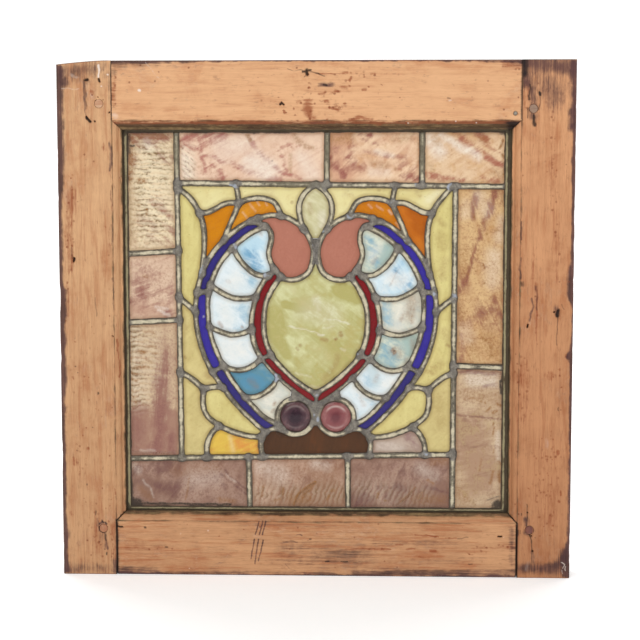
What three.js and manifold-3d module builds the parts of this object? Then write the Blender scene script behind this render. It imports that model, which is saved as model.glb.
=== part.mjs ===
// Stained glass window: a Victorian leaded light in a pinned softwood sash.
//
// Millimetres, +Z up. X runs along the width and the front face looks towards -Y.
// The origin is the middle of the underside, halfway through the thickness.
// "Depth" below is measured from the front face of the sash towards the back.
import * as THREE from 'three';
import { mergeVertices } from 'three/addons/utils/BufferGeometryUtils.js';
import Module from 'manifold-3d';

// ---- Driving dimensions ----
const WIDTH = 508;
const HEIGHT = 512.4;
const THICKNESS = 35;
const GAP = 0.3;                 // between pieces that touch
const OVERCUT = 1;               // how far a cutter runs past what it cuts

// Sash members: flat faces, then the moulded sticking that runs round the opening.
const LEFT_FACE = 54;
const RIGHT_FACE = 52.5;
const TOP_FACE = 58.6;
const BOTTOM_FACE = 55;
const ARRIS = 1.6;               // worn outer edges
const QUIRK = 0.9;               // small step down where the ovolo starts
const OVOLO = 5.8;               // radius of the quarter round
const FILLET = 2.7;              // flat beside the glass
const STICKING = OVOLO + FILLET;
const STICKING_BACK = 11.5;      // depth of the rebate's shoulder
const REBATE = 6;                // how far the rebate is cut back behind the sticking
const OPEN_JOINT = 0.9;          // the bottom shoulders have shrunk open

// Tenons go right through the stiles.
const TENON_THICKNESS = 12;
const TENON_SHOULDER = 10;       // above and below the tenon

// Leaded panel: H-shaped cames hold the glass, and a wider one runs round the edge. The panel is
// smaller than its rebate and sits a little to the left and high in it.
const PANEL_SIZE = { width: 388.4, height: 391.4 };
const PANEL_CENTRE = { x: -0.1, z: 255.2 };
const CAME_WIDTH = 5.2;
const EDGE_CAME_WIDTH = 8;
const CAME_HEART = 1.6;
const FLANGE = 1.1;
const GLASS = 2.8;
const CAME_FRONT = STICKING_BACK + GAP;
const GLASS_FRONT = CAME_FRONT + FLANGE + GAP;
const GLASS_BACK = GLASS_FRONT + GLASS;
const CAME_BACK = GLASS_BACK + GAP + FLANGE;

const JEWEL = { x: 20.3, z: 159.4, ring: 18, dome: 4.2 };
const PUTTY = { width: 9, height: 9 };

// A smooth came is drawn as chords: a new one after this much run or turn. The flanges show, so
// they are drawn finer than the hearts that they cover. A heart has a chord end at each meeting.
const FLANGE_DETAIL = { run: 24, turn: THREE.MathUtils.degToRad(30), stopsAtMeetings: false };
const HEART_DETAIL = { run: 40, turn: THREE.MathUtils.degToRad(36), stopsAtMeetings: true };
const RING_SIDES = 16;           // of a jewel and the came round it
const MEETING_REACH = 3.5;       // a came's end this near another one is carried to its centre

// ---- Derived places ----
const SIGHT = {                  // the glazed opening as seen from the front
  left: -WIDTH / 2 + LEFT_FACE + STICKING,
  right: WIDTH / 2 - RIGHT_FACE - STICKING,
  bottom: BOTTOM_FACE + STICKING,
  top: HEIGHT - TOP_FACE - STICKING,
};
const grown = (box, by) => ({
  left: box.left - by,
  right: box.right + by,
  bottom: box.bottom - by,
  top: box.top + by,
});
const REBATE_WALL = grown(SIGHT, REBATE);
const PANEL = {
  left: PANEL_CENTRE.x - PANEL_SIZE.width / 2,
  right: PANEL_CENTRE.x + PANEL_SIZE.width / 2,
  bottom: PANEL_CENTRE.z - PANEL_SIZE.height / 2,
  top: PANEL_CENTRE.z + PANEL_SIZE.height / 2,
};
const EDGE_CAME = grown(PANEL, -EDGE_CAME_WIDTH / 2);

// ---- Lead lines ----
// Each line is the centre of one came, as [x, z] points that a smooth curve passes through.
// The pinwheel border's cames are straight: each one runs from the sash to its neighbour.
const HEAD_BAR = [[-137.6, 393], [EDGE_CAME.right, 389.3]];
const FOOT_BAR = [[EDGE_CAME.left, 116], [137, 121.8]];
const LEFT_BAR = [[-137.9, EDGE_CAME.top], [-135, 117.4]];
const RIGHT_BAR = [[138.2, 389.8], [137.1, EDGE_CAME.bottom]];
const BORDER_LINES = [
  HEAD_BAR, FOOT_BAR, LEFT_BAR, RIGHT_BAR,
  [[11.5, EDGE_CAME.top], [10.8, 391.6]],
  [[105.2, EDGE_CAME.top], [104.8, 390.4]],
  [[-67.2, 118.5], [-66.3, EDGE_CAME.bottom]],
  [[32, 120.3], [32.8, EDGE_CAME.bottom]],
  [[EDGE_CAME.left, 322.4], [-137, 325.2]],
  [[EDGE_CAME.left, 253.7], [-136.4, 256.3]],
  [[137.2, 211.3], [EDGE_CAME.right, 209.6]],
];

// The emblem is drawn once, for the right-hand side, and turned over for the left.
const HALF_LINES = {
  comma_outside: [
    [57, 358.2], [42, 361.2], [26, 357.6], [12, 347.5], [4.2, 334], [2.4, 321],
    [7, 305], [17.7, 298], [31, 298], [41.5, 307.5],
  ],
  comma_inside: [
    [64, 355.6], [57, 353.4], [50, 350.3], [45.2, 345.6], [44, 337], [46.6, 322], [41.5, 307.5],
  ],
  ring_outside: [
    [57, 358.2], [72.5, 351.2], [88.5, 338.5], [101.7, 324.5], [111.3, 307.5], [117.3, 289], [119.5, 270],
    [118.6, 250], [114.4, 230.5], [106.6, 210.5], [93.5, 190], [77.8, 170], [57.5, 150], [50.5, 143.8],
  ],
  ring_inside: [
    [49.8, 350.2], [56.5, 347.2], [64.5, 343.2], [75, 335.5], [87.5, 323.5], [97.2, 310], [103.8, 295],
    [107.5, 279], [107.7, 262], [105.9, 246], [101.4, 230], [92.5, 210], [79.8, 190], [63.3, 170],
    [50, 157.5], [37, 151],
  ],
  shell_rib_1: [[82, 329], [76.5, 318.5], [68, 308.5], [58, 302], [47, 301]],
  shell_rib_2: [[104.6, 291.5], [94, 284], [82, 278.8], [70, 278], [59.6, 279.5]],
  shell_rib_3: [[106.3, 250], [95, 244.8], [84, 241.8], [74, 243], [63.4, 247]],
  shell_rib_4: [[92.8, 211], [84, 207], [75, 206.2], [66, 208.8], [54.4, 216.6]],
  shell_rib_5: [[71, 178.8], [60, 179.4], [50.5, 183.8], [43, 190.3], [37, 199]],
  heart_ring: [
    [41.5, 305.5], [50.3, 297], [56.5, 286.5], [61.3, 272.5], [63.8, 258], [63.6, 246], [60.7, 231.5],
    [55.3, 220], [46.8, 209], [34, 196], [20, 184.3], [7.5, 175.8], [0, 171.5],
  ],
  heart_edge: [
    [35, 299.8], [43.5, 287.5], [49.6, 273.5], [51.8, 255], [50.3, 237.5], [43.3, 220], [32, 206.8],
    [18, 194.3], [0, 182.5],
  ],
  heart_join: [[44, 222.5], [55, 216.5]],
  drop: [[0, 391.5], [9.5, 384.3], [15, 375.5], [16.4, 366], [14.8, 356], [11.5, 347]],
  head_tie: [[78.9, 391], [77.2, 382], [75.8, 373.2]],
  petal_crest: [[75.8, 373.4], [64, 377.2], [50, 377.4], [41, 373.8], [36.8, 367], [34, 360.5]],
  horn_crest: [[75.8, 373.4], [88, 373], [98.5, 368], [105.5, 364.4], [115, 363.4]],
  petal_edge: [[75.8, 373.2], [80.5, 362], [85.5, 351.5], [91.5, 336]],
  lens_edge: [
    [135.5, 388], [127, 380.5], [118.6, 369.5], [112.8, 356], [110.8, 342.5], [110.9, 328], [113.6, 303],
  ],
  lens_tie: [[137.3, 279.5], [129.5, 273.3], [119.4, 265]],
  leaf_tie: [[136.3, 204], [128, 199.8], [119, 193], [112.3, 186.8]],
  leaf_head: [[112.3, 186.8], [103, 189.2], [93.2, 189.5]],
  leaf_side: [[112.3, 186.8], [113.3, 174], [109.8, 161], [97, 149.7]],
  leaf_foot: [[97, 149.7], [83, 143.7], [69, 139.8], [54.3, 138.6]],
  foot_side: [[97, 149.7], [104.5, 142], [109, 131.5], [109.6, 119.4]],
  foot_end: [[54.3, 139], [55.2, 130], [53.4, 120]],
  base_crest: [[54.3, 138.8], [50.5, 143.8], [43.5, 147], [34, 147.2]],
};
const HEART_TIP_LINE = [[0, 184], [0, 154]];

// Short cames that lie across a cobalt band, which runs through under them.
const HALF_STRAPS = [
  [[106.2, 285], [118, 284.4]],
  [[92.3, 209.8], [103.6, 204.6]],
];

// Where cames crowd together, the spandrel between them is flooded with solder.
const HALF_FLOODS = [
  [[-0.2, 338], [5, 338], [2.4, 326], [2.4, 318], [3.3, 313], [-0.2, 313]],
  [
    [-0.2, 171.6], [7.5, 175.8], [20, 184.3], [24, 187.2], [25.8, 176.5], [20.3, 177.4], [12, 175.3],
    [5.6, 169.8], [2.5, 162], [2.5, 157], [3.4, 153.6], [-0.2, 153.6],
  ],
  [[105.6, 318.6], [111, 318.6], [113.2, 304], [112.6, 304]],
  [[57.2, 358], [63.6, 355.6], [57, 353.4]],
  [[56.4, 353], [50.2, 350.4], [56.4, 347.4]],
  [[40.4, 152.6], [36.9, 152.2], [33.8, 147.3], [40, 147.2]],
];
const turnedOver = (line) => line.map(([x, z]) => [-x, z]);
const bothSides = (halves) => [...halves, ...halves.map(turnedOver)];
const LEAD_LINES = [...BORDER_LINES, HEART_TIP_LINE, ...bothSides(Object.values(HALF_LINES))];
const STRAPS = bothSides(HALF_STRAPS);
const FLOODS = bothSides(HALF_FLOODS);

// ---- Glass ----
// One piece of glass per entry: its name, a point [x, z] inside it, and what it is cut from.
const PANES = [
  ['border_left_upper', -164, 390, 'cream_opal'],
  ['border_left_middle', -164, 290, 'rose_opal'],
  ['border_left_lower', -164, 180, 'cream_opal'],
  ['border_foot_left', -130, 92, 'mauve_opal'],
  ['border_foot_middle', -16, 92, 'mauve_opal'],
  ['border_foot_right', 85, 92, 'mauve_opal'],
  ['border_right_lower', 165, 140, 'rose_opal'],
  ['border_right_upper', 165, 300, 'cream_opal'],
  ['border_head_right', 148, 420, 'cream_opal'],
  ['border_head_middle', 58, 420, 'rose_opal'],
  ['border_head_left', -60, 420, 'cream_opal'],
  ['drop', 0, 365, 'pale_yellow'],
  ['heart', 0, 250, 'pale_green'],
  ['base', 0, 132, 'brown'],
  ['foot_left', -80, 130, 'amber_yellow'],
  ['foot_right', 80, 130, 'mauve_opal'],
];
const PAIRED_PANES = [
  ['field_corner', 105, 380, 'pale_yellow'],
  ['field_head', 30, 375, 'pale_yellow'],
  ['field_lens', 125, 330, 'pale_yellow'],
  ['field_side', 126, 235, 'pale_yellow'],
  ['field_leaf', 90, 165, 'pale_yellow'],
  ['field_low', 124, 160, 'pale_yellow'],
  ['petal', 58, 369, 'amber'],
  ['horn', 100, 352, 'orange'],
  ['comma', 25, 325, 'salmon'],
  ['cobalt_band', 113.7, 265, 'cobalt'],
  ['shell_1', 58, 325, 'white_opal'],
  ['shell_2', 80, 300, 'white_opal'],
  ['shell_3', 85, 262, 'white_opal'],
  ['shell_4', 80, 225, 'white_opal'],
  ['shell_5', 62, 195, 'white_opal'],
  ['shell_6', 45, 172, 'white_opal'],
  ['ruby_upper', 57.6, 255, 'ruby'],
  ['ruby_lower', 30, 199, 'ruby'],
];
const FINISHES = {
  wood: { color: 0xc9966a, roughness: 0.7, metalness: 0 },
  lead: { color: 0x8f897f, roughness: 0.6, metalness: 0.35 },
  putty: { color: 0x9c927f, roughness: 0.9, metalness: 0 },
  cream_opal: { color: 0xe0c8ac, roughness: 0.3, metalness: 0 },
  rose_opal: { color: 0xcfa68f, roughness: 0.3, metalness: 0 },
  mauve_opal: { color: 0xa5826f, roughness: 0.3, metalness: 0 },
  pale_yellow: { color: 0xd9d28c, roughness: 0.3, metalness: 0 },
  pale_green: { color: 0xc5c082, roughness: 0.25, metalness: 0 },
  amber_yellow: { color: 0xe0b344, roughness: 0.25, metalness: 0 },
  amber: { color: 0xcf7a10, roughness: 0.2, metalness: 0 },
  orange: { color: 0xc06a12, roughness: 0.2, metalness: 0 },
  salmon: { color: 0xb87460, roughness: 0.45, metalness: 0 },
  cobalt: { color: 0x3c2d8c, roughness: 0.15, metalness: 0 },
  white_opal: { color: 0xd8e6f0, roughness: 0.2, metalness: 0 },
  ruby: { color: 0x861a22, roughness: 0.15, metalness: 0 },
  plum: { color: 0x6e4150, roughness: 0.1, metalness: 0 },
  brown: { color: 0x543320, roughness: 0.2, metalness: 0 },
};
const materials = Object.fromEntries(
  Object.entries(FINISHES).map(([name, look]) => [name, new THREE.MeshStandardMaterial({ name, ...look })]),
);

// ---- Solids ----
const wasm = await Module();
wasm.setup();

function solidOf(geometry) {
  geometry.deleteAttribute('normal');
  geometry.deleteAttribute('uv');
  const merged = mergeVertices(geometry, 1e-4);
  return new wasm.Manifold(new wasm.Mesh({
    numProp: 3,
    vertProperties: merged.attributes.position.array,
    triVerts: new Uint32Array(merged.index.array),
  }));
}

function meshOf(name, solid, material) {
  const { vertProperties, triVerts } = solid.getMesh();
  const geometry = new THREE.BufferGeometry();
  geometry.setAttribute('position', new THREE.BufferAttribute(vertProperties, 3));
  geometry.setIndex(new THREE.BufferAttribute(triVerts, 1));
  geometry.computeVertexNormals();
  const mesh = new THREE.Mesh(geometry, material);
  mesh.name = name;
  return mesh;
}

// Joins solids and drops the leftover points on straight edges.
const joined = (solids) => solids.reduce((whole, next) => whole.add(next)).asOriginal().simplify();

// A flat shape in X and Z, made solid from one depth to another.
function slab(shape, front, back) {
  const depth = back - front;
  const curveSegments = RING_SIDES / 2;
  const geometry = new THREE.ExtrudeGeometry(shape, { depth, bevelEnabled: false, curveSegments });
  geometry.rotateX(Math.PI / 2);
  geometry.translate(0, back - THICKNESS / 2, 0);
  return solidOf(geometry);
}

function rectangle({ left, right, bottom, top }, Outline = THREE.Shape) {
  return new Outline([[left, bottom], [right, bottom], [right, top], [left, top]].map(
    ([x, z]) => new THREE.Vector2(x, z),
  ));
}

function disc(x, z, radius, Outline = THREE.Shape) {
  const circle = new Outline();
  circle.absarc(x, z, radius, 0, 2 * Math.PI);
  return circle;
}

// ---- Cames ----
const CURVE_STEPS = 300;
const asVectors = (points) => points.map(([x, z]) => new THREE.Vector2(x, z));

// A smooth curve through the points, in steps too small to see.
function smooth(points) {
  if (points.length === 2) {
    const [start, end] = points;
    return Array.from({ length: CURVE_STEPS + 1 }, (_, i) => start.clone().lerp(end, i / CURVE_STEPS));
  }
  const through = points.map(({ x, y }) => new THREE.Vector3(x, y, 0));
  const curve = new THREE.CatmullRomCurve3(through, false, 'centripetal');
  return curve.getSpacedPoints(CURVE_STEPS).map(({ x, y }) => new THREE.Vector2(x, y));
}

function nearest(curve, point) {
  const distances = curve.map((step) => step.distanceTo(point));
  const index = distances.indexOf(Math.min(...distances));
  return { index, distance: distances[index], point: curve[index] };
}

// Carries both ends of each line to the middle of the came that they meet. A curve remembers where
// others meet it, because one of its chords has to end there.
function meetingLines(drawn) {
  const points = drawn.map(asVectors);
  const rough = points.map(smooth);
  const meets = drawn.map(() => []);
  points.forEach((line, i) => {
    for (const end of [0, line.length - 1]) {
      const others = rough.map((curve, j) => (
        j === i ? { distance: Infinity } : nearest(curve, line[end])
      ));
      const distance = Math.min(...others.map((other) => other.distance));
      if (distance < MEETING_REACH) {
        const j = others.findIndex((other) => other.distance === distance);
        line[end] = others[j].point.clone();
        meets[j].push(line[end]);
      }
    }
  });
  return points.map((line, i) => {
    const curve = smooth(line);
    const isStraight = line.length === 2;
    return { curve, isStraight, meetings: meets[i].map((point) => nearest(curve, point).index) };
  });
}

// Chords along a curve between its stops, shorter where it turns faster.
function chords({ curve, isStraight, meetings }, { run, turn, stopsAtMeetings }) {
  if (isStraight) {
    return [curve[0], curve[CURVE_STEPS]];
  }
  const stops = [0, ...(stopsAtMeetings ? meetings : []), CURVE_STEPS].sort((p, q) => p - q);
  const need = [0];
  for (let i = 1; i < curve.length; i += 1) {
    const step = curve[i].clone().sub(curve[i - 1]);
    const before = i < 2 ? step : curve[i - 1].clone().sub(curve[i - 2]);
    const turned = Math.acos(Math.min(1, step.clone().normalize().dot(before.clone().normalize())));
    need.push(need[i - 1] + Math.max(step.length() / run, turned / turn));
  }
  const kept = [curve[0]];
  for (let s = 1; s < stops.length; s += 1) {
    const share = need[stops[s]] - need[stops[s - 1]];
    const count = Math.max(1, Math.round(share));
    for (let k = 1; k <= count; k += 1) {
      const wanted = need[stops[s - 1]] + (share * k) / count;
      const at = need.findIndex((value) => value >= wanted - 1e-9);
      const isNew = curve[at].distanceTo(kept[kept.length - 1]) > CAME_WIDTH / 2;
      if (isNew) {
        kept.push(curve[at]);
      }
    }
  }
  kept[kept.length - 1] = curve[CURVE_STEPS];
  return kept;
}

// The outline of a strip of even width along a line, run on a little at both ends.
function strip(line, width, runOn = width / 5) {
  const points = line.map((point) => point.clone());
  const last = points.length - 1;
  points[0].addScaledVector(line[1].clone().sub(line[0]).normalize(), -runOn);
  points[last].addScaledVector(line[last].clone().sub(line[last - 1]).normalize(), runOn);
  const sides = points.map((point, i) => {
    const before = points[Math.max(i, 1)].clone().sub(points[Math.max(i, 1) - 1]).normalize();
    const after = points[Math.min(i + 1, last)].clone().sub(points[Math.min(i + 1, last) - 1]).normalize();
    const along = before.add(after).normalize();
    const across = new THREE.Vector2(-along.y, along.x).multiplyScalar(width / 2 / along.dot(after));
    return [point.clone().add(across), point.clone().sub(across)];
  });
  return new THREE.Shape([...sides.map((side) => side[0]), ...sides.map((side) => side[1]).reverse()]);
}

function frameShape(box, width) {
  const shape = rectangle(grown(box, width / 2));
  shape.holes.push(rectangle(grown(box, -width / 2), THREE.Path));
  return shape;
}

function ringShape(x, z, radius, width) {
  const shape = disc(x, z, radius + width / 2);
  shape.holes.push(disc(x, z, radius - width / 2, THREE.Path));
  return shape;
}

const leadCurves = meetingLines(LEAD_LINES);
const jewelCentres = [[-JEWEL.x, JEWEL.z], [JEWEL.x, JEWEL.z]];

// All the cames, from one depth to another. Flanges are wide, and wider round the edge. Hearts are
// narrow, and the saw that parts the glass clears them on both sides.
const FLANGES = { width: CAME_WIDTH, edgeWidth: EDGE_CAME_WIDTH, detail: FLANGE_DETAIL };
const HEARTS = { width: CAME_HEART, edgeWidth: CAME_HEART, detail: HEART_DETAIL };
const KERFS = { ...HEARTS, width: CAME_HEART + 2 * GAP, edgeWidth: CAME_HEART + 2 * GAP };
function lattice({ width, edgeWidth, detail }, front, back) {
  const shapes = [
    ...leadCurves.map((curve) => strip(chords(curve, detail), width)),
    ...FLOODS.map((outline) => new THREE.Shape(asVectors(outline))),
    ...jewelCentres.map(([x, z]) => ringShape(x, z, JEWEL.ring, width)),
    frameShape(EDGE_CAME, edgeWidth),
  ];
  return joined(shapes.map((shape) => slab(shape, front, back)));
}

function leadMatrix() {
  const middleOfFlange = FLANGE / 2;
  const flanges = (front) => joined([
    lattice(FLANGES, front, front + FLANGE),
    ...STRAPS.map((strap) => slab(strip(asVectors(strap), CAME_WIDTH), front, front + FLANGE)),
  ]);
  return joined([
    flanges(CAME_FRONT),
    lattice(HEARTS, CAME_FRONT + middleOfFlange, CAME_BACK - middleOfFlange),
    flanges(CAME_BACK - FLANGE),
  ]);
}

// ---- Panes ----
// The sheet is parted along the hearts of the cames, and clears the solder between them.
function cutSheet() {
  const sheet = slab(rectangle(grown(EDGE_CAME, -CAME_HEART / 2 - GAP)), GLASS_FRONT, GLASS_BACK);
  const cutFrom = GLASS_FRONT - OVERCUT;
  const cutTo = GLASS_BACK + OVERCUT;
  const kerfs = lattice(KERFS, cutFrom, cutTo);
  const floodEdges = FLOODS.flatMap((outline) => asVectors(outline).map((corner, i, corners) => (
    slab(strip([corner, corners[(i + 1) % corners.length]], 2 * GAP), cutFrom, cutTo)
  )));
  return sheet.subtract(kerfs).subtract(joined(floodEdges)).asOriginal().simplify().decompose();
}

function holds(piece, x, z) {
  const spot = { left: x, right: x, bottom: z, top: z };
  const pin = slab(rectangle(grown(spot, GAP)), GLASS_FRONT, GLASS_BACK);
  return piece.intersect(pin).volume() > 0;
}

// A pressed jewel: a flat rim that the came grips, and a low dome.
function jewel(x) {
  const rim = JEWEL.ring - CAME_HEART / 2 - GAP;
  const dome = JEWEL.ring - CAME_WIDTH / 2 - GAP;
  const steps = 4;
  const profile = [new THREE.Vector2(0, 0), new THREE.Vector2(rim, 0), new THREE.Vector2(rim, GLASS)];
  for (let i = 0; i <= steps; i += 1) {
    const angle = (i / steps) * (Math.PI / 2);
    profile.push(new THREE.Vector2(dome * Math.cos(angle), GLASS + JEWEL.dome * Math.sin(angle)));
  }
  profile[profile.length - 1].x = 0;
  const geometry = new THREE.LatheGeometry(profile, RING_SIDES);
  geometry.rotateX(Math.PI);
  geometry.translate(x, GLASS_BACK - THICKNESS / 2, JEWEL.z);
  return solidOf(geometry);
}

// ---- Sash and putty ----
// A member's section is [across from its outer edge, depth from the front face].
function stickingSection(face) {
  const section = [[face, QUIRK]];
  const steps = 6;
  for (let i = 1; i <= steps; i += 1) {
    const angle = (i / steps) * (Math.PI / 2);
    section.push([face + OVOLO * Math.sin(angle), QUIRK + OVOLO * (1 - Math.cos(angle))]);
  }
  const sight = face + STICKING;
  section.push([sight, QUIRK + OVOLO], [sight, STICKING_BACK]);
  section.push([sight - REBATE, STICKING_BACK], [sight - REBATE, THICKNESS], [face, THICKNESS]);
  return section;
}

function coreSection(face) {
  return [
    [ARRIS, 0], [face, 0], [face, THICKNESS], [ARRIS, THICKNESS], [0, THICKNESS - ARRIS], [0, ARRIS],
  ];
}

// A bar along X with this section, from one end to the other. Beyond the face line its ends are
// cut back at 45 degrees, as the sticking is mitred.
function bar(section, from, to, mitreFrom = Infinity) {
  const outline = new THREE.Shape(section.map(([across, depth]) => new THREE.Vector2(depth, across)));
  const geometry = new THREE.ExtrudeGeometry(outline, { depth: to - from, bevelEnabled: false });
  const position = geometry.attributes.position;
  for (let i = 0; i < position.count; i += 1) {
    const cut = Math.max(0, position.getY(i) - mitreFrom);
    const atStart = position.getZ(i) < (to - from) / 2;
    position.setZ(i, position.getZ(i) + from + (atStart ? cut : -cut));
  }
  const depthwise = new THREE.Vector3(0, 1, 0);
  const upwards = new THREE.Vector3(0, 0, 1);
  const lengthwise = new THREE.Vector3(1, 0, 0);
  geometry.applyMatrix4(new THREE.Matrix4().makeBasis(depthwise, upwards, lengthwise));
  return geometry;
}

// Turns a bar made as a bottom rail to its own side of the window.
const SIDES = {
  bottom: { turn: 0, reach: HEIGHT / 2 },
  left: { turn: Math.PI / 2, reach: WIDTH / 2 },
  top: { turn: Math.PI, reach: HEIGHT / 2 },
  right: { turn: -Math.PI / 2, reach: WIDTH / 2 },
};
function placed(geometry, { turn, reach }) {
  geometry.translate(0, -THICKNESS / 2, -reach);
  geometry.rotateY(turn);
  geometry.translate(0, 0, HEIGHT / 2);
  return solidOf(geometry);
}

// A box by its ends along the rail, its edges across it and its faces through the thickness.
function block(from, to, low, high, front, back) {
  return bar([[low, front], [high, front], [high, back], [low, back]], from, to);
}

const tenonFront = (THICKNESS - TENON_THICKNESS) / 2;
const tenonBack = (THICKNESS + TENON_THICKNESS) / 2;

// Both kinds of member are made between the faces that they meet at their start and their end. The
// bottom rail starts at the left stile and the top rail, turned over, at the right one.
function rail(side, face, startFace, endFace, shoulderGap) {
  const from = -WIDTH / 2 + startFace + shoulderGap;
  const to = WIDTH / 2 - endFace - shoulderGap;
  const end = WIDTH / 2 - GAP;
  return joined([
    placed(bar(coreSection(face), from, to), side),
    placed(bar(stickingSection(face), from, to, face), side),
    placed(block(-end, end, TENON_SHOULDER, face - TENON_SHOULDER, tenonFront, tenonBack), side),
  ]);
}

// The left stile starts at the head, and the right one at the foot.
function stile(side, face, startFace, endFace) {
  const from = -HEIGHT / 2;
  const to = HEIGHT / 2;
  const wood = joined([
    placed(bar(coreSection(face), from, to), side),
    placed(bar(stickingSection(face), from + startFace, to - endFace, face), side),
  ]);
  const mortise = (low, high) => placed(
    block(low - GAP, high + GAP, -OVERCUT, face + OVERCUT, tenonFront - GAP, tenonBack + GAP),
    side,
  );
  return wood
    .subtract(mortise(from + TENON_SHOULDER, from + startFace - TENON_SHOULDER))
    .subtract(mortise(to - endFace + TENON_SHOULDER, to - TENON_SHOULDER));
}

function putty() {
  const front = CAME_BACK + GAP;
  const section = [[0, front], [PUTTY.width, front], [0, front + PUTTY.height]];
  const { left, right, bottom, top } = grown(REBATE_WALL, -GAP);
  const fillet = (side, reach, half, shift) => {
    const geometry = bar(section, -half, half, 0);
    geometry.translate(shift, -THICKNESS / 2, -reach);
    geometry.rotateY(side.turn);
    geometry.translate(0, 0, HEIGHT / 2);
    return solidOf(geometry);
  };
  const halfWidth = (right - left) / 2;
  const halfHeight = (top - bottom) / 2;
  const rightOfCentre = (left + right) / 2;
  const aboveCentre = (top + bottom) / 2 - HEIGHT / 2;
  return joined([
    fillet(SIDES.bottom, HEIGHT / 2 - bottom, halfWidth, rightOfCentre),
    fillet(SIDES.left, -left, halfHeight, -aboveCentre),
    fillet(SIDES.top, top - HEIGHT / 2, halfWidth, -rightOfCentre),
    fillet(SIDES.right, right, halfHeight, aboveCentre),
  ]);
}

// ---- The window ----
const stainedGlassWindow = new THREE.Group();

stainedGlassWindow.add(
  meshOf('left_stile', stile(SIDES.left, LEFT_FACE, TOP_FACE, BOTTOM_FACE), materials.wood),
  meshOf('right_stile', stile(SIDES.right, RIGHT_FACE, BOTTOM_FACE, TOP_FACE), materials.wood),
  meshOf('top_rail', rail(SIDES.top, TOP_FACE, RIGHT_FACE, LEFT_FACE, GAP), materials.wood),
  meshOf(
    'bottom_rail',
    rail(SIDES.bottom, BOTTOM_FACE, LEFT_FACE, RIGHT_FACE, OPEN_JOINT),
    materials.wood,
  ),
  meshOf('lead_matrix', leadMatrix(), materials.lead),
  meshOf('glazing_putty', putty(), materials.putty),
);

const pieces = cutSheet();
const panes = [
  ...PANES,
  ...PAIRED_PANES.flatMap(([name, x, z, glass]) => [
    [`${name}_left`, -x, z, glass],
    [`${name}_right`, x, z, glass],
  ]),
];
for (const [name, x, z, glass] of panes) {
  const piece = pieces.find((candidate) => holds(candidate, x, z));
  stainedGlassWindow.add(meshOf(name, piece, materials[glass]));
}
stainedGlassWindow.add(
  meshOf('jewel_left', jewel(-JEWEL.x), materials.plum),
  meshOf('jewel_right', jewel(JEWEL.x), materials.plum),
);

export default stainedGlassWindow;
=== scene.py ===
# %% [markdown]
# # A stained glass window in a pinned softwood sash
#
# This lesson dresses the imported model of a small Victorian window: a leaded light of opalescent,
# cathedral and jewel glass in a stripped pine sash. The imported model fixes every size. The lesson
# adds what a maker's hand and a century of use added: soft lead, solder, grime, grain and scars.
# The parts that the script makes are measured in millimetres and turned into metres at the end.

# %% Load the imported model
import math

import bmesh
import bpy
import numpy as np
from mathutils import Matrix, Vector, kdtree, noise


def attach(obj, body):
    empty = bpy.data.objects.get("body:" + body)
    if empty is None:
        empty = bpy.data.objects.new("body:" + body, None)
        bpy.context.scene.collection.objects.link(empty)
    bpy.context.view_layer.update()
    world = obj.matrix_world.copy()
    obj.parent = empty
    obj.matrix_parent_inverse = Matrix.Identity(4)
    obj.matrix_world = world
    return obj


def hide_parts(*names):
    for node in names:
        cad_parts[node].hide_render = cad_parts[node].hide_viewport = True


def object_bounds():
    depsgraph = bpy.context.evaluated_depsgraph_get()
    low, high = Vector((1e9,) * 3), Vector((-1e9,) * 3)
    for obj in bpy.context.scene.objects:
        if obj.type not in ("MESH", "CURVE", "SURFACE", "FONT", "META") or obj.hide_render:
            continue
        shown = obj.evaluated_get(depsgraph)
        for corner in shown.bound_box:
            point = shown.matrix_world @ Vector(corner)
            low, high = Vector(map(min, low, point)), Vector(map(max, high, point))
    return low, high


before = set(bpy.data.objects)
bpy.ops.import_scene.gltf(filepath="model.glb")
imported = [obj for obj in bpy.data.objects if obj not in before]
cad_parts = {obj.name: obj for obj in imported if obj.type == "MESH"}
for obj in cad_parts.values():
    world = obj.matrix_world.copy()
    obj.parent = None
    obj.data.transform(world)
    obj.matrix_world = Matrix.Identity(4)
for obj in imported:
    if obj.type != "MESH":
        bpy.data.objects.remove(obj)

MM = 0.001
CAD_BOX = [list(corner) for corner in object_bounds()]
THICKNESS = (CAD_BOX[1][1] - CAD_BOX[0][1]) / MM
print("packed nodes:", len(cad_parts), "box:", CAD_BOX)

# %% [markdown]
# ## Camera, floor and light
#
# The window is seen almost square on, from a little above its middle. It stands on a pale sweep,
# under two large soft lamps, as in a saleroom's studio. A large lamp gives wide, soft highlights,
# which is what lets a viewer read the ripples in old glass.

# %% Place the camera
CAMERA_PLACE = (0.0587, -1.5358, 0.3999)
CAMERA_TILT = 84.67        # degrees up from straight down
CAMERA_TURN = 2.03
LENS_LENGTH = 86.85
SENSOR_WIDTH = 36


def place_camera():
    data = bpy.data.cameras.new("camera")
    data.lens = LENS_LENGTH
    data.sensor_width = SENSOR_WIDTH
    camera = bpy.data.objects.new("camera", data)
    camera.location = CAMERA_PLACE
    camera.rotation_euler = (math.radians(CAMERA_TILT), 0, math.radians(CAMERA_TURN))
    bpy.context.scene.collection.objects.link(camera)
    bpy.context.scene.camera = camera
    print("camera:", tuple(camera.location))


place_camera()

# %% Hang the lamps
LAMPS = {
    # name: place, aim, size, watts
    "key_lamp": ((-0.9, -1.7, 1.9), (0, 0, 0.35), 1.4, 18),
    "fill_lamp": ((1.2, -1.6, 1.2), (0, 0, 0.3), 1.4, 9),
    "back_lamp_left": ((-1.1, 1.4, 1.2), (0, 0, 0.25), 1.2, 16),
    "back_lamp_right": ((1.1, 1.3, 0.7), (0, 0, 0.25), 1.2, 12),
}
ROOM_LIGHT = 0.52
WHITE = (1, 1, 1, 1)


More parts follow.
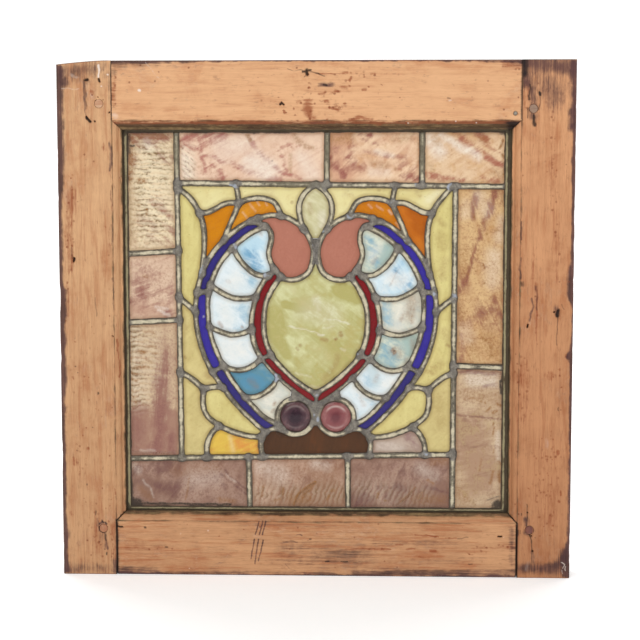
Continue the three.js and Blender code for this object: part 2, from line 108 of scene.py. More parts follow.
def hang_lamp(name, place, aim, size, watts):
    data = bpy.data.lights.new(name, "AREA")
    data.size = size
    data.energy = watts
    lamp = bpy.data.objects.new(name, data)
    lamp.location = place
    lamp.rotation_euler = (Vector(aim) - Vector(place)).to_track_quat("-Z", "Y").to_euler()
    bpy.context.scene.collection.objects.link(lamp)


def light_room():
    world = bpy.data.worlds.new("studio")
    world.use_nodes = True
    background = world.node_tree.nodes["Background"].inputs
    background["Color"].default_value = WHITE
    background["Strength"].default_value = ROOM_LIGHT
    bpy.context.scene.world = world


for lamp_name, settings in LAMPS.items():
    hang_lamp(lamp_name, *settings)
light_room()
bpy.context.scene.view_settings.view_transform = "Standard"
print("lamps:", list(LAMPS))

# %% [markdown]
# ## Shader maths
#
# A finish is easier to read as a sum than as a web of wires. `Value` wraps one output of a node and
# lets Python's own operators add the Math nodes. `Finish` holds one material: it makes any other
# node from its type, its settings and its inputs.

# %% A small language for materials
def paint(red, green, blue):
    """A colour by its everyday numbers, 0 to 255, as the linear light that nodes use."""
    shares = (channel / 255 for channel in (red, green, blue))
    return (*(s / 12.92 if s <= 0.04045 else ((s + 0.055) / 1.055) ** 2.4 for s in shares), 1)


class Value:
    """One output of a node. Operators on it add Math nodes to its material."""

    def __init__(self, finish, socket):
        self.finish = finish
        self.socket = socket

    def maths(self, operation, *terms):
        return self.finish.node("ShaderNodeMath", {"operation": operation}, dict(enumerate(terms)))

    def __add__(self, other):
        return self.maths("ADD", self, other)

    def __sub__(self, other):
        return self.maths("SUBTRACT", self, other)

    def __rsub__(self, other):
        return self.maths("SUBTRACT", other, self)

    def __mul__(self, other):
        return self.maths("MULTIPLY", self, other)

    __radd__ = __add__
    __rmul__ = __mul__

    def at_most(self, other):
        return self.maths("MINIMUM", self, other)

    def rise(self, low, high, bottom=0.0, top=1.0):
        """A smooth rise from bottom to top as this value goes from low to high."""
        settings = {"interpolation_type": "SMOOTHSTEP"}
        ends = {"From Min": low, "From Max": high, "To Min": bottom, "To Max": top}
        return self.finish.node("ShaderNodeMapRange", settings, {"Value": self, **ends})


class Finish:
    """A material that is mixed one node at a time."""

    def __init__(self, name, **constants):
        self.material = bpy.data.materials.new(name)
        self.material.use_nodes = True
        self.nodes = self.material.node_tree.nodes
        self.links = self.material.node_tree.links
        self.shader = self.nodes["Principled BSDF"]
        for socket, value in constants.items():
            self.shader.inputs[socket.replace("_", " ")].default_value = value
        self.place = self.node("ShaderNodeTexCoord", output="Object")

    def node(self, kind, settings=None, inputs=None, output=0):
        made = self.nodes.new(kind)
        for key, value in (settings or {}).items():
            setattr(made, key, value)
        for socket, value in (inputs or {}).items():
            self.feed(made.inputs[socket], value)
        return Value(self, made.outputs[output])

    def feed(self, socket, value):
        if isinstance(value, Value):
            self.links.new(value.socket, socket)
        else:
            socket.default_value = value

    def stretched(self, scale, turn=(0, 0, 0)):
        """Object coordinates in units of a pattern: turned first, then scaled, evenly or by axis."""
        scale = scale if isinstance(scale, tuple) else (scale, scale, scale)
        angles = tuple(math.radians(angle) for angle in turn)
        turned = self.node("ShaderNodeMapping", {}, {"Vector": self.place, "Rotation": angles})
        return self.node("ShaderNodeMapping", {}, {"Vector": turned, "Scale": scale})

    def cloud(self, scale, detail=3.0, roughness=0.55, distortion=0.0, seed=0.0, turn=(0, 0, 0)):
        """Soft noise, about `scale` lumps to the metre."""
        inputs = {"Vector": self.stretched(scale, turn), "W": seed, "Scale": 1.0, "Detail": detail,
                  "Roughness": roughness, "Distortion": distortion}
        return self.node("ShaderNodeTexNoise", {"noise_dimensions": "4D"}, inputs)

    def spots(self, scale):
        """Distance from the nearest of some scattered points, about `scale` of them to the metre."""
        return self.node("ShaderNodeTexVoronoi", {}, {"Vector": self.stretched(scale), "Scale": 1.0})

    def mark(self, name):
        """A number that the modelling wrote on each point of the mesh."""
        return self.node("ShaderNodeAttribute", {"attribute_name": name}, output="Fac")

    def over(self, base, top, amount, mode="MIX"):
        """One colour laid over another."""
        settings = {"data_type": "RGBA", "blend_type": mode}
        return self.node("ShaderNodeMix", settings, {0: amount, 6: base, 7: top}, output=2)

    def finish(self, colour, roughness, height, strength=1.0, distance=0.0005):
        settings = {"Strength": strength, "Distance": distance, "Height": height}
        bump = self.node("ShaderNodeBump", {}, settings)
        self.feed(self.shader.inputs["Base Color"], colour)
        self.feed(self.shader.inputs["Roughness"], roughness)
        self.feed(self.shader.inputs["Normal"], bump)
        return self.material


# %% [markdown]
# ## The floor
#
# A plain pale floor that turns up into a wall. It is one strip of cloth, swept round a quarter
# circle, so no corner line shows behind the window.

# %% Sweep the floor up into a wall
FLOOR_HALF_WIDTH = 3.5     # metres, as are the others here
FLOOR_FRONT = -3.0
FLOOR_BACK = 1.2
SWEEP_RADIUS = 1.0
SWEEP_STEPS = 24
WALL_RISE = 2.5


def made_of(kind, geometry):
    """The points, edges or faces among what an operator returned."""
    return [part for part in geometry if isinstance(part, kind)]


def make_backdrop():
    bm = bmesh.new()
    ends = [bm.verts.new((x, FLOOR_FRONT, 0)) for x in (-FLOOR_HALF_WIDTH, FLOOR_HALF_WIDTH)]
    front = bm.edges.new(ends)
    moved = bmesh.ops.extrude_edge_only(bm, edges=[front])["geom"]
    edge = made_of(bmesh.types.BMEdge, moved)
    bmesh.ops.translate(bm, verts=edge[0].verts[:], vec=(0, FLOOR_BACK - FLOOR_FRONT, 0))
    swept = bmesh.ops.spin(
        bm, geom=edge + edge[0].verts[:], cent=(0, FLOOR_BACK, SWEEP_RADIUS), axis=(1, 0, 0),
        dvec=(0, 0, 0), angle=math.pi / 2, steps=SWEEP_STEPS,
    )["geom_last"]
    last = made_of(bmesh.types.BMEdge, swept)
    raised = bmesh.ops.extrude_edge_only(bm, edges=last)["geom"]
    bmesh.ops.translate(bm, verts=made_of(bmesh.types.BMVert, raised), vec=(0, 0, WALL_RISE))
    for face in bm.faces:
        face.smooth = True
    mesh = bpy.data.meshes.new("backdrop")
    bm.to_mesh(mesh)
    bm.free()
    backdrop = bpy.data.objects.new("backdrop", mesh)
    bpy.context.scene.collection.objects.link(backdrop)
    cloth = Finish("studio_paper", Specular_IOR_Level=0.1, Emission_Color=WHITE, Emission_Strength=0.3)
    weave = cloth.cloud(60)
    tone = cloth.over(paint(246, 246, 246), paint(240, 240, 239), weave)
    mesh.materials.append(cloth.finish(tone, 0.9, weave, 0.1))
    print("backdrop faces:", len(mesh.polygons))


make_backdrop()

# %% [markdown]
# ## Helpers for the pieces
#
# Each piece is a bmesh in millimetres, written in the frame's axes: X across, Y away from the
# viewer and Z up. `keep_piece` turns it into metres, smooths it, hands it to the frame and hides
# the imported nodes that it stands for. `ruffle` is the seeded unevenness that every old surface has.

# %% Keep a piece
def at_depth(depth):
    """Y in millimetres for a depth behind the front face of the sash."""
    return depth - THICKNESS / 2


def keep_piece(name, bm, finish, nodes, sharp=40):
    bmesh.ops.scale(bm, vec=(MM, MM, MM), verts=bm.verts[:])
    for face in bm.faces:
        face.smooth = True
    for edge in bm.edges:
        if len(edge.link_faces) == 2:
            edge.smooth = edge.calc_face_angle(0) < math.radians(sharp)
    mesh = bpy.data.meshes.new(name)
    bm.to_mesh(mesh)
    bm.free()
    mesh.materials.append(finish)
    piece = bpy.data.objects.new(name, mesh)
    bpy.context.scene.collection.objects.link(piece)
    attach(piece, "root")
    if nodes:
        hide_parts(*nodes)
    return piece


def ruffle(x, y, z, size, seed=0.0):
    """Smooth noise from -1 to 1 that changes over about `size` millimetres."""
    return noise.noise(Vector((x / size + seed, y / size - seed, z / size + 2 * seed)))


def rise(value, low, high):
    """0 below low, 1 above high, and a smooth climb between, for numbers and arrays."""
    share = np.clip((value - low) / (high - low), 0, 1)
    return share * share * (3 - 2 * share)


def write_marks(bm, verts, marks):
    """Writes numbers on some of the points, for the finish to read."""
    bm.verts.index_update()
    chosen = [v.index for v in verts]
    for name in marks:
        if name not in bm.verts.layers.float:
            bm.verts.layers.float.new(name)
    bm.verts.ensure_lookup_table()
    for name, values in marks.items():
        layer = bm.verts.layers.float[name]
        for index, value in zip(chosen, values):
            bm.verts[index][layer] = float(value)


def places(verts):
    """X, Y and Z of some points, as three arrays."""
    return np.array([v.co for v in verts], float).reshape(-1, 3).T

# %% [markdown]
# ## The lead lines
#
# A leaded light is drawn as a cutline: the centre of every came on one sheet of paper. Each line
# here is a handful of points with a smooth curve through them, the same curve as in the packed
# model. The emblem is drawn once and turned over for the other side. Everything in the panel is
# then told by distance from these lines: near them is lead, and away from them is glass.

# %% Draw the cutline
CAME_WIDTH = 5.2
EDGE_CAME_WIDTH = 8.0
KERF = 2.2                # room between panes for the heart of a came
LINE_STEP = 0.5
CURVE_STEPS = 60          # points between two given ones, before they are spaced evenly
MEETING_REACH = 3.5
EDGE = {"left": -190.3, "right": 190.1, "bottom": 63.5, "top": 446.9}
JEWEL_CENTRES = [(-20.3, 159.4), (20.3, 159.4)]
RING_RADIUS = 18.0

BORDER_LINES = [
    [(-137.6, 393), (EDGE["right"], 389.3)],
    [(EDGE["left"], 116), (137, 121.8)],
    [(-137.9, EDGE["top"]), (-135, 117.4)],
    [(138.2, 389.8), (137.1, EDGE["bottom"])],
    [(11.5, EDGE["top"]), (10.8, 391.6)],
    [(105.2, EDGE["top"]), (104.8, 390.4)],
    [(-67.2, 118.5), (-66.3, EDGE["bottom"])],
    [(32, 120.3), (32.8, EDGE["bottom"])],
    [(EDGE["left"], 322.4), (-137, 325.2)],
    [(EDGE["left"], 253.7), (-136.4, 256.3)],
    [(137.2, 211.3), (EDGE["right"], 209.6)],
]
HALF_LINES = {
    "comma_outside": [
        (57, 358.2), (42, 361.2), (26, 357.6), (12, 347.5), (4.2, 334), (2.4, 321),
        (7, 305), (17.7, 298), (31, 298), (41.5, 307.5)],
    "comma_inside": [
        (64, 355.6), (57, 353.4), (50, 350.3), (45.2, 345.6), (44, 337), (46.6, 322), (41.5, 307.5)],
    "ring_outside": [
        (57, 358.2), (72.5, 351.2), (88.5, 338.5), (101.7, 324.5), (111.3, 307.5), (117.3, 289),
        (119.5, 270), (118.6, 250), (114.4, 230.5), (106.6, 210.5), (93.5, 190), (77.8, 170),
        (57.5, 150), (50.5, 143.8)],
    "ring_inside": [
        (49.8, 350.2), (56.5, 347.2), (64.5, 343.2), (75, 335.5), (87.5, 323.5), (97.2, 310),
        (103.8, 295), (107.5, 279), (107.7, 262), (105.9, 246), (101.4, 230), (92.5, 210),
        (79.8, 190), (63.3, 170), (50, 157.5), (37, 151)],
    "shell_rib_1": [(82, 329), (76.5, 318.5), (68, 308.5), (58, 302), (47, 301)],
    "shell_rib_2": [(104.6, 291.5), (94, 284), (82, 278.8), (70, 278), (59.6, 279.5)],
    "shell_rib_3": [(106.3, 250), (95, 244.8), (84, 241.8), (74, 243), (63.4, 247)],
    "shell_rib_4": [(92.8, 211), (84, 207), (75, 206.2), (66, 208.8), (54.4, 216.6)],
    "shell_rib_5": [(71, 178.8), (60, 179.4), (50.5, 183.8), (43, 190.3), (37, 199)],
    "heart_ring": [
        (41.5, 305.5), (50.3, 297), (56.5, 286.5), (61.3, 272.5), (63.8, 258), (63.6, 246),
        (60.7, 231.5), (55.3, 220), (46.8, 209), (34, 196), (20, 184.3), (7.5, 175.8), (0, 171.5)],
    "heart_edge": [
        (35, 299.8), (43.5, 287.5), (49.6, 273.5), (51.8, 255), (50.3, 237.5), (43.3, 220),
        (32, 206.8), (18, 194.3), (0, 182.5)],
    "heart_join": [(44, 222.5), (55, 216.5)],
    "drop": [(0, 391.5), (9.5, 384.3), (15, 375.5), (16.4, 366), (14.8, 356), (11.5, 347)],
    "head_tie": [(78.9, 391), (77.2, 382), (75.8, 373.2)],
    "petal_crest": [(75.8, 373.4), (64, 377.2), (50, 377.4), (41, 373.8), (36.8, 367), (34, 360.5)],
    "horn_crest": [(75.8, 373.4), (88, 373), (98.5, 368), (105.5, 364.4), (115, 363.4)],
    "petal_edge": [(75.8, 373.2), (80.5, 362), (85.5, 351.5), (91.5, 336)],
    "lens_edge": [
        (135.5, 388), (127, 380.5), (118.6, 369.5), (112.8, 356), (110.8, 342.5), (110.9, 328),
        (113.6, 303)],
    "lens_tie": [(137.3, 279.5), (129.5, 273.3), (119.4, 265)],
    "leaf_tie": [(136.3, 204), (128, 199.8), (119, 193), (112.3, 186.8)],
    "leaf_head": [(112.3, 186.8), (103, 189.2), (93.2, 189.5)],
    "leaf_side": [(112.3, 186.8), (113.3, 174), (109.8, 161), (97, 149.7)],
    "leaf_foot": [(97, 149.7), (83, 143.7), (69, 139.8), (54.3, 138.6)],
    "foot_side": [(97, 149.7), (104.5, 142), (109, 131.5), (109.6, 119.4)],
    "foot_end": [(54.3, 139), (55.2, 130), (53.4, 120)],
    "base_crest": [(54.3, 138.8), (50.5, 143.8), (43.5, 147), (34, 147.2)],
    "strap_upper": [(106.2, 285), (118, 284.4)],
    "strap_lower": [(92.3, 209.8), (103.6, 204.6)],
}
HEART_TIP_LINE = [(0, 184), (0, 154)]

# Where cames crowd together, the corner between them is flooded with solder.
HALF_FLOODS = [
    [(-0.2, 338), (5, 338), (2.4, 326), (2.4, 318), (3.3, 313), (-0.2, 313)],
    [(-0.2, 171.6), (7.5, 175.8), (20, 184.3), (24, 187.2), (25.8, 176.5), (20.3, 177.4),
     (12, 175.3), (5.6, 169.8), (2.5, 162), (2.5, 157), (3.4, 153.6), (-0.2, 153.6)],
    [(105.6, 318.6), (111, 318.6), (113.2, 304), (112.6, 304)],
    [(57.2, 358), (63.6, 355.6), (57, 353.4)],
    [(56.4, 353), (50.2, 350.4), (56.4, 347.4)],
    [(40.4, 152.6), (36.9, 152.2), (33.8, 147.3), (40, 147.2)],
]


def turned_over(line):
    return [(-x, z) for x, z in line]


def smooth_line(points):
    """Points every LINE_STEP along a centripetal Catmull-Rom curve through the given ones."""
    p = np.array(points, float)
    p = np.vstack([2 * p[0] - p[1], p, 2 * p[-1] - p[-2]])
    gap = np.sqrt(np.linalg.norm(np.diff(p, axis=0), axis=1))
    t = np.linspace(0, 1, CURVE_STEPS, endpoint=False)[:, None]
    runs = []
    for i in range(1, len(p) - 2):
        before, here, after = gap[i - 1], gap[i], gap[i + 1]
        step = (p[i + 1] - p[i]) / here
        leave = step + (p[i] - p[i - 1]) / before - (p[i + 1] - p[i - 1]) / (before + here)
        reach = step + (p[i + 2] - p[i + 1]) / after - (p[i + 2] - p[i]) / (here + after)
        runs.append((2 * t**3 - 3 * t**2 + 1) * p[i] + (t**3 - 2 * t**2 + t) * leave * here
                    + (3 * t**2 - 2 * t**3) * p[i + 1] + (t**3 - t**2) * reach * here)
    run = np.vstack([*runs, p[-2]])
    along = np.concatenate([[0], np.cumsum(np.linalg.norm(np.diff(run, axis=0), axis=1))])
    even = np.linspace(0, along[-1], max(2, round(along[-1] / LINE_STEP)) + 1)
    return np.column_stack([np.interp(even, along, run[:, k]) for k in (0, 1)])


def joined_ends(drawn):
    """Carries both ends of each line to the middle of the came that they meet."""
    rough = [smooth_line(line) for line in drawn]
    lines, joints = [], []
    for i, line in enumerate(drawn):
        line = [np.array(point, float) for point in line]
        for end in (0, -1):
            near = [(np.inf, None)]
            for j, other in enumerate(rough):
                if j != i:
                    gaps = np.linalg.norm(other - line[end], axis=1)
                    near.append((gaps.min(), other[gaps.argmin()]))
            gap, point = min(near, key=lambda pair: pair[0])
            if gap < MEETING_REACH:
                line[end] = point
            joints.append(tuple(line[end]))
        lines.append(smooth_line(line))
    return lines, joints


def ring(x, z, radius):
    angles = np.arange(0, 2 * math.pi, LINE_STEP / radius)
    return np.column_stack([x + radius * np.cos(angles), z + radius * np.sin(angles)])


def both_sides(lines):
    return [*lines, *(turned_over(line) for line in lines)]


CUTLINE, JOINTS = joined_ends([*BORDER_LINES, HEART_TIP_LINE, *both_sides(list(HALF_LINES.values()))])
RINGS = [ring(x, z, RING_RADIUS) for x, z in JEWEL_CENTRES]
FLOODS = [np.array(outline) for outline in both_sides(HALF_FLOODS)]
print("lines:", len(CUTLINE), "lead:", round(sum(len(c) for c in CUTLINE) * LINE_STEP / 1000, 2), "m")

# %% [markdown]
# ## Distance from the lead
#
# A k-d tree answers which point of the cutline is nearest, and the rest is arithmetic. `heart_gap`
# is the distance to the middle of the nearest came. `lead_edge` is negative inside the lead: it
# knows that the came round the edge is wider, that a hand-stretched came is never quite even, and
# that solder has run into a fillet at each joint.

# %% Measure distances in the panel
def line_tree(lines):
    points = np.vstack(lines)
    tree = kdtree.KDTree(len(points))
    for index, (x, z) in enumerate(points):
        tree.insert((x, z, 0), index)
    tree.balance()
    return tree


CAME_TREE = line_tree(CUTLINE + RINGS)
JOINT_TREE = line_tree([np.array(JOINTS)])
# Beside the narrow coloured strips the cames were trimmed slimmer, most of all at the heart's tip.
RUBY_STRIP = [(51, 213.5), (39, 201.5), (26, 188.5), (13, 178.5), (4, 174)]
COBALT_STRIP = [(113.5, 275), (110, 233), (99, 207), (84, 184.5), (66, 163.5), (52, 150)]
SLIM_TREES = [(line_tree([smooth_line(line) for line in both_sides([strip])]), amount)
              for strip, amount in ((RUBY_STRIP, 0.85), (COBALT_STRIP, 0.45))]
FAR = 999.0
EDGE_MIDDLE = ((EDGE["left"] + EDGE["right"]) / 2, (EDGE["bottom"] + EDGE["top"]) / 2)
EDGE_HALF = ((EDGE["right"] - EDGE["left"]) / 2, (EDGE["top"] - EDGE["bottom"]) / 2)


def nearest_gap(tree, x, z):
    return np.array([tree.find((a, b, 0))[2] for a, b in zip(x, z)])


def inside_edge(x, z):
    """Distance inwards from the middle of the came that runs round the panel."""
    return np.minimum(EDGE_HALF[0] - abs(x - EDGE_MIDDLE[0]), EDGE_HALF[1] - abs(z - EDGE_MIDDLE[1]))


def run_gap(x, z, start, end):
    """Distance from each point to the straight run between two ends."""
    (ax, az), (bx, bz) = start, end
    length_squared = max((bx - ax) ** 2 + (bz - az) ** 2, 1e-9)
    t = np.clip(((x - ax) * (bx - ax) + (z - az) * (bz - az)) / length_squared, 0, 1)
    return np.hypot(x - ax - t * (bx - ax), z - az - t * (bz - az))


def flood_gap(x, z):
    """Distance to the flooded corners, negative inside them."""
    best = np.full(len(x), FAR)
    for outline in FLOODS:
        low, high = outline.min(0) - 6, outline.max(0) + 6
        near = np.flatnonzero((x > low[0]) & (x < high[0]) & (z > low[1]) & (z < high[1]))
        px, pz = x[near], z[near]
        gap = np.full(len(near), FAR)
        inside = np.zeros(len(near), bool)
        for start, end in zip(outline, np.roll(outline, -1, axis=0)):
            gap = np.minimum(gap, run_gap(px, pz, start, end))
            (ax, az), (bx, bz) = start, end
            if az != bz:
                crosses = (az > pz) != (bz > pz)
                inside ^= crosses & (px < ax + (pz - az) * (bx - ax) / (bz - az))
        best[near] = np.minimum(best[near], np.where(inside, -gap, gap))
    return best


def uneven(x, z, size, seed):
    return np.array([ruffle(a, 0, b, size, seed) for a, b in zip(x, z)])


def blended(a, b, radius):
    """The union of two distances, with a fillet where they meet."""
    overlap = np.maximum(radius - abs(a - b), 0) / radius
    return np.minimum(a, b) - overlap * overlap * radius / 4


SOLDER_RADIUS = 3.7


def panel_gaps(x, z):
    """Gaps from each point to cames, edge, floods and joints, and how far the lead wanders or thins."""
    return {
        "came": nearest_gap(CAME_TREE, x, z),
        "edge": inside_edge(x, z),
        "flood": flood_gap(x, z),
        "joint": nearest_gap(JOINT_TREE, x, z) - SOLDER_RADIUS - 1.4 * uneven(x, z, 9, 7.7),
        "wander": uneven(x, z, 14, 3.1) + 0.5 * uneven(x, z, 4.5, 6.4),
        "slim": sum(amount * (1 - rise(nearest_gap(tree, x, z), 4.5, 7.5)) for tree, amount in SLIM_TREES),
    }


def lead_edge(gaps):
    """Negative inside the lead."""
    half = CAME_WIDTH / 2
    came = gaps["came"] - half - 0.36 * gaps["wander"] + gaps["slim"]
    edge = gaps["edge"] - EDGE_CAME_WIDTH / 2 - 0.45 * gaps["wander"]
    edge = np.maximum(edge, -EDGE_CAME_WIDTH / 2 - gaps["edge"])
    solder = np.maximum(gaps["joint"], gaps["came"] - half - 1.3) + gaps["slim"]
    return np.minimum(blended(np.minimum(came, gaps["flood"]), solder, 2.2), edge)


def glass_edge(gaps):
    """Negative inside the glass, which stops short of the hearts and of the solder."""
    hearts = KERF / 2 - np.minimum(gaps["came"], gaps["edge"])
    return np.maximum(hearts, 0.3 - gaps["flood"])


# %% [markdown]
# ## A sheet cut by distance
#
# Lead and glass start as the same thing: a flat grid the size of what is cut. Faces on the wrong
# side of the edge are deleted, and the ragged points that are left are slid onto the edge itself,
# down the slope of the distance. Extruding the sheet then gives it its thickness. The grid stays,
# so that there are points enough to crown the lead and ripple the glass.

# %% Cut a sheet
def sheet_grid(box, pitch):
    """A flat grid that faces the viewer and covers the box (left, right, bottom, top)."""
    left, right, bottom, top = box
    columns = max(1, round((right - left) / pitch))
    rows = max(1, round((top - bottom) / pitch))
    bm = bmesh.new()
    stand = Matrix(((right - left, 0, 0, (left + right) / 2), (0, 0, 1, 0),
                    (0, top - bottom, 0, (bottom + top) / 2), (0, 0, 0, 1)))
    bmesh.ops.create_grid(bm, x_segments=columns, y_segments=rows, size=0.5, matrix=stand)
    return bm


def slide_to_edge(bm, edge_of, pitch):
    """Moves the sheet's ragged rim onto the line where edge_of is nought."""
    rim = [v for v in bm.verts if v.is_boundary]
    small = 0.2
    gentlest = 0.2
    for _ in range(2):
        x, _, z = places(rim)
        here = edge_of(x, z)
        slope_x = (edge_of(x + small, z) - edge_of(x - small, z)) / (2 * small)
        slope_z = (edge_of(x, z + small) - edge_of(x, z - small)) / (2 * small)
        steep = np.maximum(slope_x**2 + slope_z**2, gentlest)
        step = np.clip(here, -1.2 * pitch, 1.2 * pitch) / steep
        for vert, dx, dz in zip(rim, step * slope_x, step * slope_z):
            vert.co.x -= dx
            vert.co.z -= dz


def cut_sheet(box, pitch, edge_of, keep=None):
    """A sheet of what lies inside the edge, and inside `keep` where that is given."""
    bm = sheet_grid(box, pitch)
    centres = np.array([f.calc_center_median() for f in bm.faces])
    wanted = edge_of(centres[:, 0], centres[:, 2]) < 0
    if keep is not None:
        wanted &= keep(centres[:, 0], centres[:, 2])
    unwanted = [f for f, is_wanted in zip(bm.faces, wanted) if not is_wanted]
    bmesh.ops.delete(bm, geom=unwanted, context="FACES")
    slide_to_edge(bm, edge_of, pitch)
    return bm


def thicken(bm, front, back):
    """Gives a flat sheet its thickness and returns its front and back points."""
    bmesh.ops.translate(bm, verts=bm.verts[:], vec=(0, at_depth(back), 0))
    back_faces = bm.faces[:]
    made = bmesh.ops.extrude_face_region(bm, geom=back_faces, use_keep_orig=True)["geom"]
    front_verts = made_of(bmesh.types.BMVert, made)
    bmesh.ops.translate(bm, verts=front_verts, vec=(0, at_depth(front) - at_depth(back), 0))
    bmesh.ops.recalc_face_normals(bm, faces=bm.faces[:])
    return front_verts, back_faces

# %% [markdown]
# ## Lead
#
# The cames are soft lead, drawn round on the face, with a heart inside that parts the panes. Old
# lead goes dull: handling keeps the crown pale, while cement and soot stay black along both edges.
# The pale crown is partly a painted highlight, and the dark edges partly painted shade. Solder is
# greyer, with a painted bluish sheen, and stands a little proud in a soft lump at each joint. The
# mesh carries marks for the finish to read: how far a point is up the crown, how much of it is
# solder, how smoked it is, and how near it is to the sash, where a century of cleaning has left most
# dirt, and where painted shade darkens the edge came along the top and in the corners.

# %% Lead finish
def lead_finish():
    lead = Finish("old_lead", Metallic=0.15, Specular_IOR_Level=0.35)
    share, solder, band = lead.mark("crown"), lead.mark("solder"), lead.mark("near_sash")
    smoked = lead.mark("smoked")
    big = lead.cloud(48, 4, 0.55, 0.4, 4)
    drag = lead.cloud(170, 4, 0.6, 0.6, 1)
    fine = lead.cloud(900, 3, 0.65, 0, 2)
    rub = (drag - 0.5) * 0.9 + (fine - 0.5) * 0.35
    soldered = (solder + rub * 1.2 + (big - 0.5) * 2.0).rise(0.3, 0.8)
    # The pale crown is partly wear and oxide and partly a painted highlight along the top of each came.
    worn = (share + rub * 0.8 + (big - 0.5) * 2.2 - smoked * 0.3).rise(0.36, 0.86)
    dull = lead.over(paint(86, 79, 68), paint(138, 130, 112), (drag * 0.6 + fine * 0.4).rise(0.38, 0.62))
    pale = lead.over(paint(174, 165, 140), paint(212, 202, 174), (fine * 0.5 + drag * 0.5).rise(0.36, 0.62))
    tone = lead.over(dull, pale, worn)
    grey = lead.over(paint(92, 87, 82), paint(138, 132, 124), (drag * 0.5 + fine * 0.5).rise(0.42, 0.66))
    tone = lead.over(tone, grey, soldered * 0.9)
    tone = lead.over(tone, paint(118, 110, 86), smoked * 0.45)
    # On the came round the edge, the rubbed crown is likewise partly a painted highlight.
    handled = (share + rub * 1.3 + (big - 0.5) * 1.6).rise(0.35, 0.9)
    rubbed = lead.over(paint(82, 68, 48), paint(152, 142, 108), handled)
    tone = lead.over(tone, rubbed, band)
    # Cement and soot along the sash, partly painted shade: most along the top under the rail and in the
    # corners.
    cement = (lead.mark("grime_and_shade") + rub * 1.2 * lead.mark("grime_and_shade").rise(0.0, 0.2)).rise(0.3, 0.7)
    tone = lead.over(tone, paint(66, 55, 38), cement * 0.9)
    # Dark lines along both edges of each came: partly soot and cement, partly painted shade.
    seam = (share + rub * 0.7).rise(-0.05, 0.3, 1.0, 0.0)
    outline = seam * (big * 0.4 + drag * 0.6).rise(0.4, 0.58, 0.3, 0.85)
    tone = lead.over(tone, paint(54, 46, 38), outline)
    # Painted bluish sheen on the solder.
    blue = lead.cloud(70, 2, 0.5, 0, 5).rise(0.64, 0.72)
    tone = lead.over(tone, paint(180, 190, 206), blue * soldered * 0.75)
    shine = (0.62 - worn * 0.12) - soldered * 0.12 + (fine - 0.5) * 0.25
    return lead.finish(tone, shine, drag * 0.6 + fine * 0.4, 0.5, 0.0005)


LEAD = lead_finish()

# %% Crown the front of the lead
CAME_FRONT = 11.5
CAME_LIP = 12.5           # the thin edge of the flange
CAME_UNDERSIDE = 12.9
PANEL_BOX = (-194.3, 194.1, 59.5, 450.9)
LEAD_PITCH = 1.06
SIGHT = {"left": -191.5, "right": 193.0, "bottom": 63.5, "top": 445.3}
SMOKE_LINE = 383          # above it a century of candles and lamps has dulled the lead


def crown_height(share):
    """The rise of a came from 0 at its edge to 1 along its middle, like a flattened tube."""
    return np.sqrt(1 - (1 - share) ** 2)


def sash_grime_and_shade(x, z):
    """Cement and soot where the panel meets the sash, partly painted shade: thick along the top and in the
    corners.
    """
    wander = 1.3 * uneven(x, z, 5, 2.2) + 0.8 * uneven(x, z, 2, 6.1)
    sides = np.array([x - SIGHT["left"], SIGHT["right"] - x, z - SIGHT["bottom"], SIGHT["top"] - z])
    reach = np.array([0.8, 1.0, 1.2, 3.2])[:, None]
    line = (1 - rise(sides + 0.5 * wander, reach, reach + 1.3)).max(0)
    corner = 1 - rise(np.sort(sides, axis=0)[:2].sum(0) + 2 * wander, 5, 13)
    return np.maximum(line, corner)


def make_front_lead():
    bm = cut_sheet(PANEL_BOX, LEAD_PITCH, lambda x, z: lead_edge(panel_gaps(x, z)))
    front, _ = thicken(bm, CAME_LIP, CAME_UNDERSIDE)
    x, _, z = places(front)
    gaps = panel_gaps(x, z)
    share = np.clip(-lead_edge(gaps) / (CAME_WIDTH / 2), 0, 1)
    crown = crown_height(share)
    edge_band = rise(-gaps["edge"], -5.0, -4.0)
    solder = rise(-gaps["joint"], -5.5, 0.6) * rise(-gaps["came"], -6, -2)
    solder = np.maximum(solder, rise(-gaps["flood"], -1.8, 0.2))
    dents = uneven(x, z, 6, 1.3) * 0.11 + uneven(x, z, 2.4, 9.2) * 0.05
    rise_by = crown * (CAME_LIP - CAME_FRONT) * (1 - 0.45 * edge_band)
    rise_by += crown * solder**2 * (0.35 + 0.25 * uneven(x, z, 4, 5.5)) * (1 - edge_band)
    for vert, up, dent in zip(front, rise_by, dents * crown):
        vert.co.y -= up + dent
    # Along the edge came the pale crown, partly a painted highlight, is a line about 2.1 mm in.
    line = 1 - rise(abs(gaps["edge"] - 2.1 + 0.35 * gaps["wander"]), 0.3, 1.7)
    line = np.maximum(line, 0.75 * rise(-gaps["edge"], 0.3, 1.8))
    share = share * (1 - edge_band) + line * edge_band
    smoked = rise(z + 2 * gaps["wander"], SMOKE_LINE, SMOKE_LINE + 10) * rise(abs(x + 20), 40, 10)
    smoked += rise(z, SMOKE_LINE + 15, SMOKE_LINE + 25)
    write_marks(bm, front, {"crown": share, "solder": solder, "near_sash": edge_band,
                            "smoked": np.minimum(smoked, 1), "grime_and_shade": sash_grime_and_shade(x, z) * edge_band})
    print("front lead points:", len(bm.verts), "faces:", len(bm.faces))
    keep_piece("came_faces", bm, LEAD, ["lead_matrix"], sharp=75)


make_front_lead()

# %% [markdown]
# The back of the light is plainer, as it always is: the same cames with a flatter crown and less
# polish. It is cut from a coarser sheet, because nobody looks at it closely. Between the two faces
# runs the heart, a thin wall that is bent along every line: an edge is drawn along the line,
# extruded through the glass, and given a wall's thickness.

# %% Back of the lead and its hearts
BACK_UNDERSIDE = 16.3
BACK_LIP = 16.8
CAME_BACK = 17.4
BACK_PITCH = 1.45
HEART_THICKNESS = 0.8
HEART_STRIDE = 5          # every fifth point of the cutline is enough for a heart


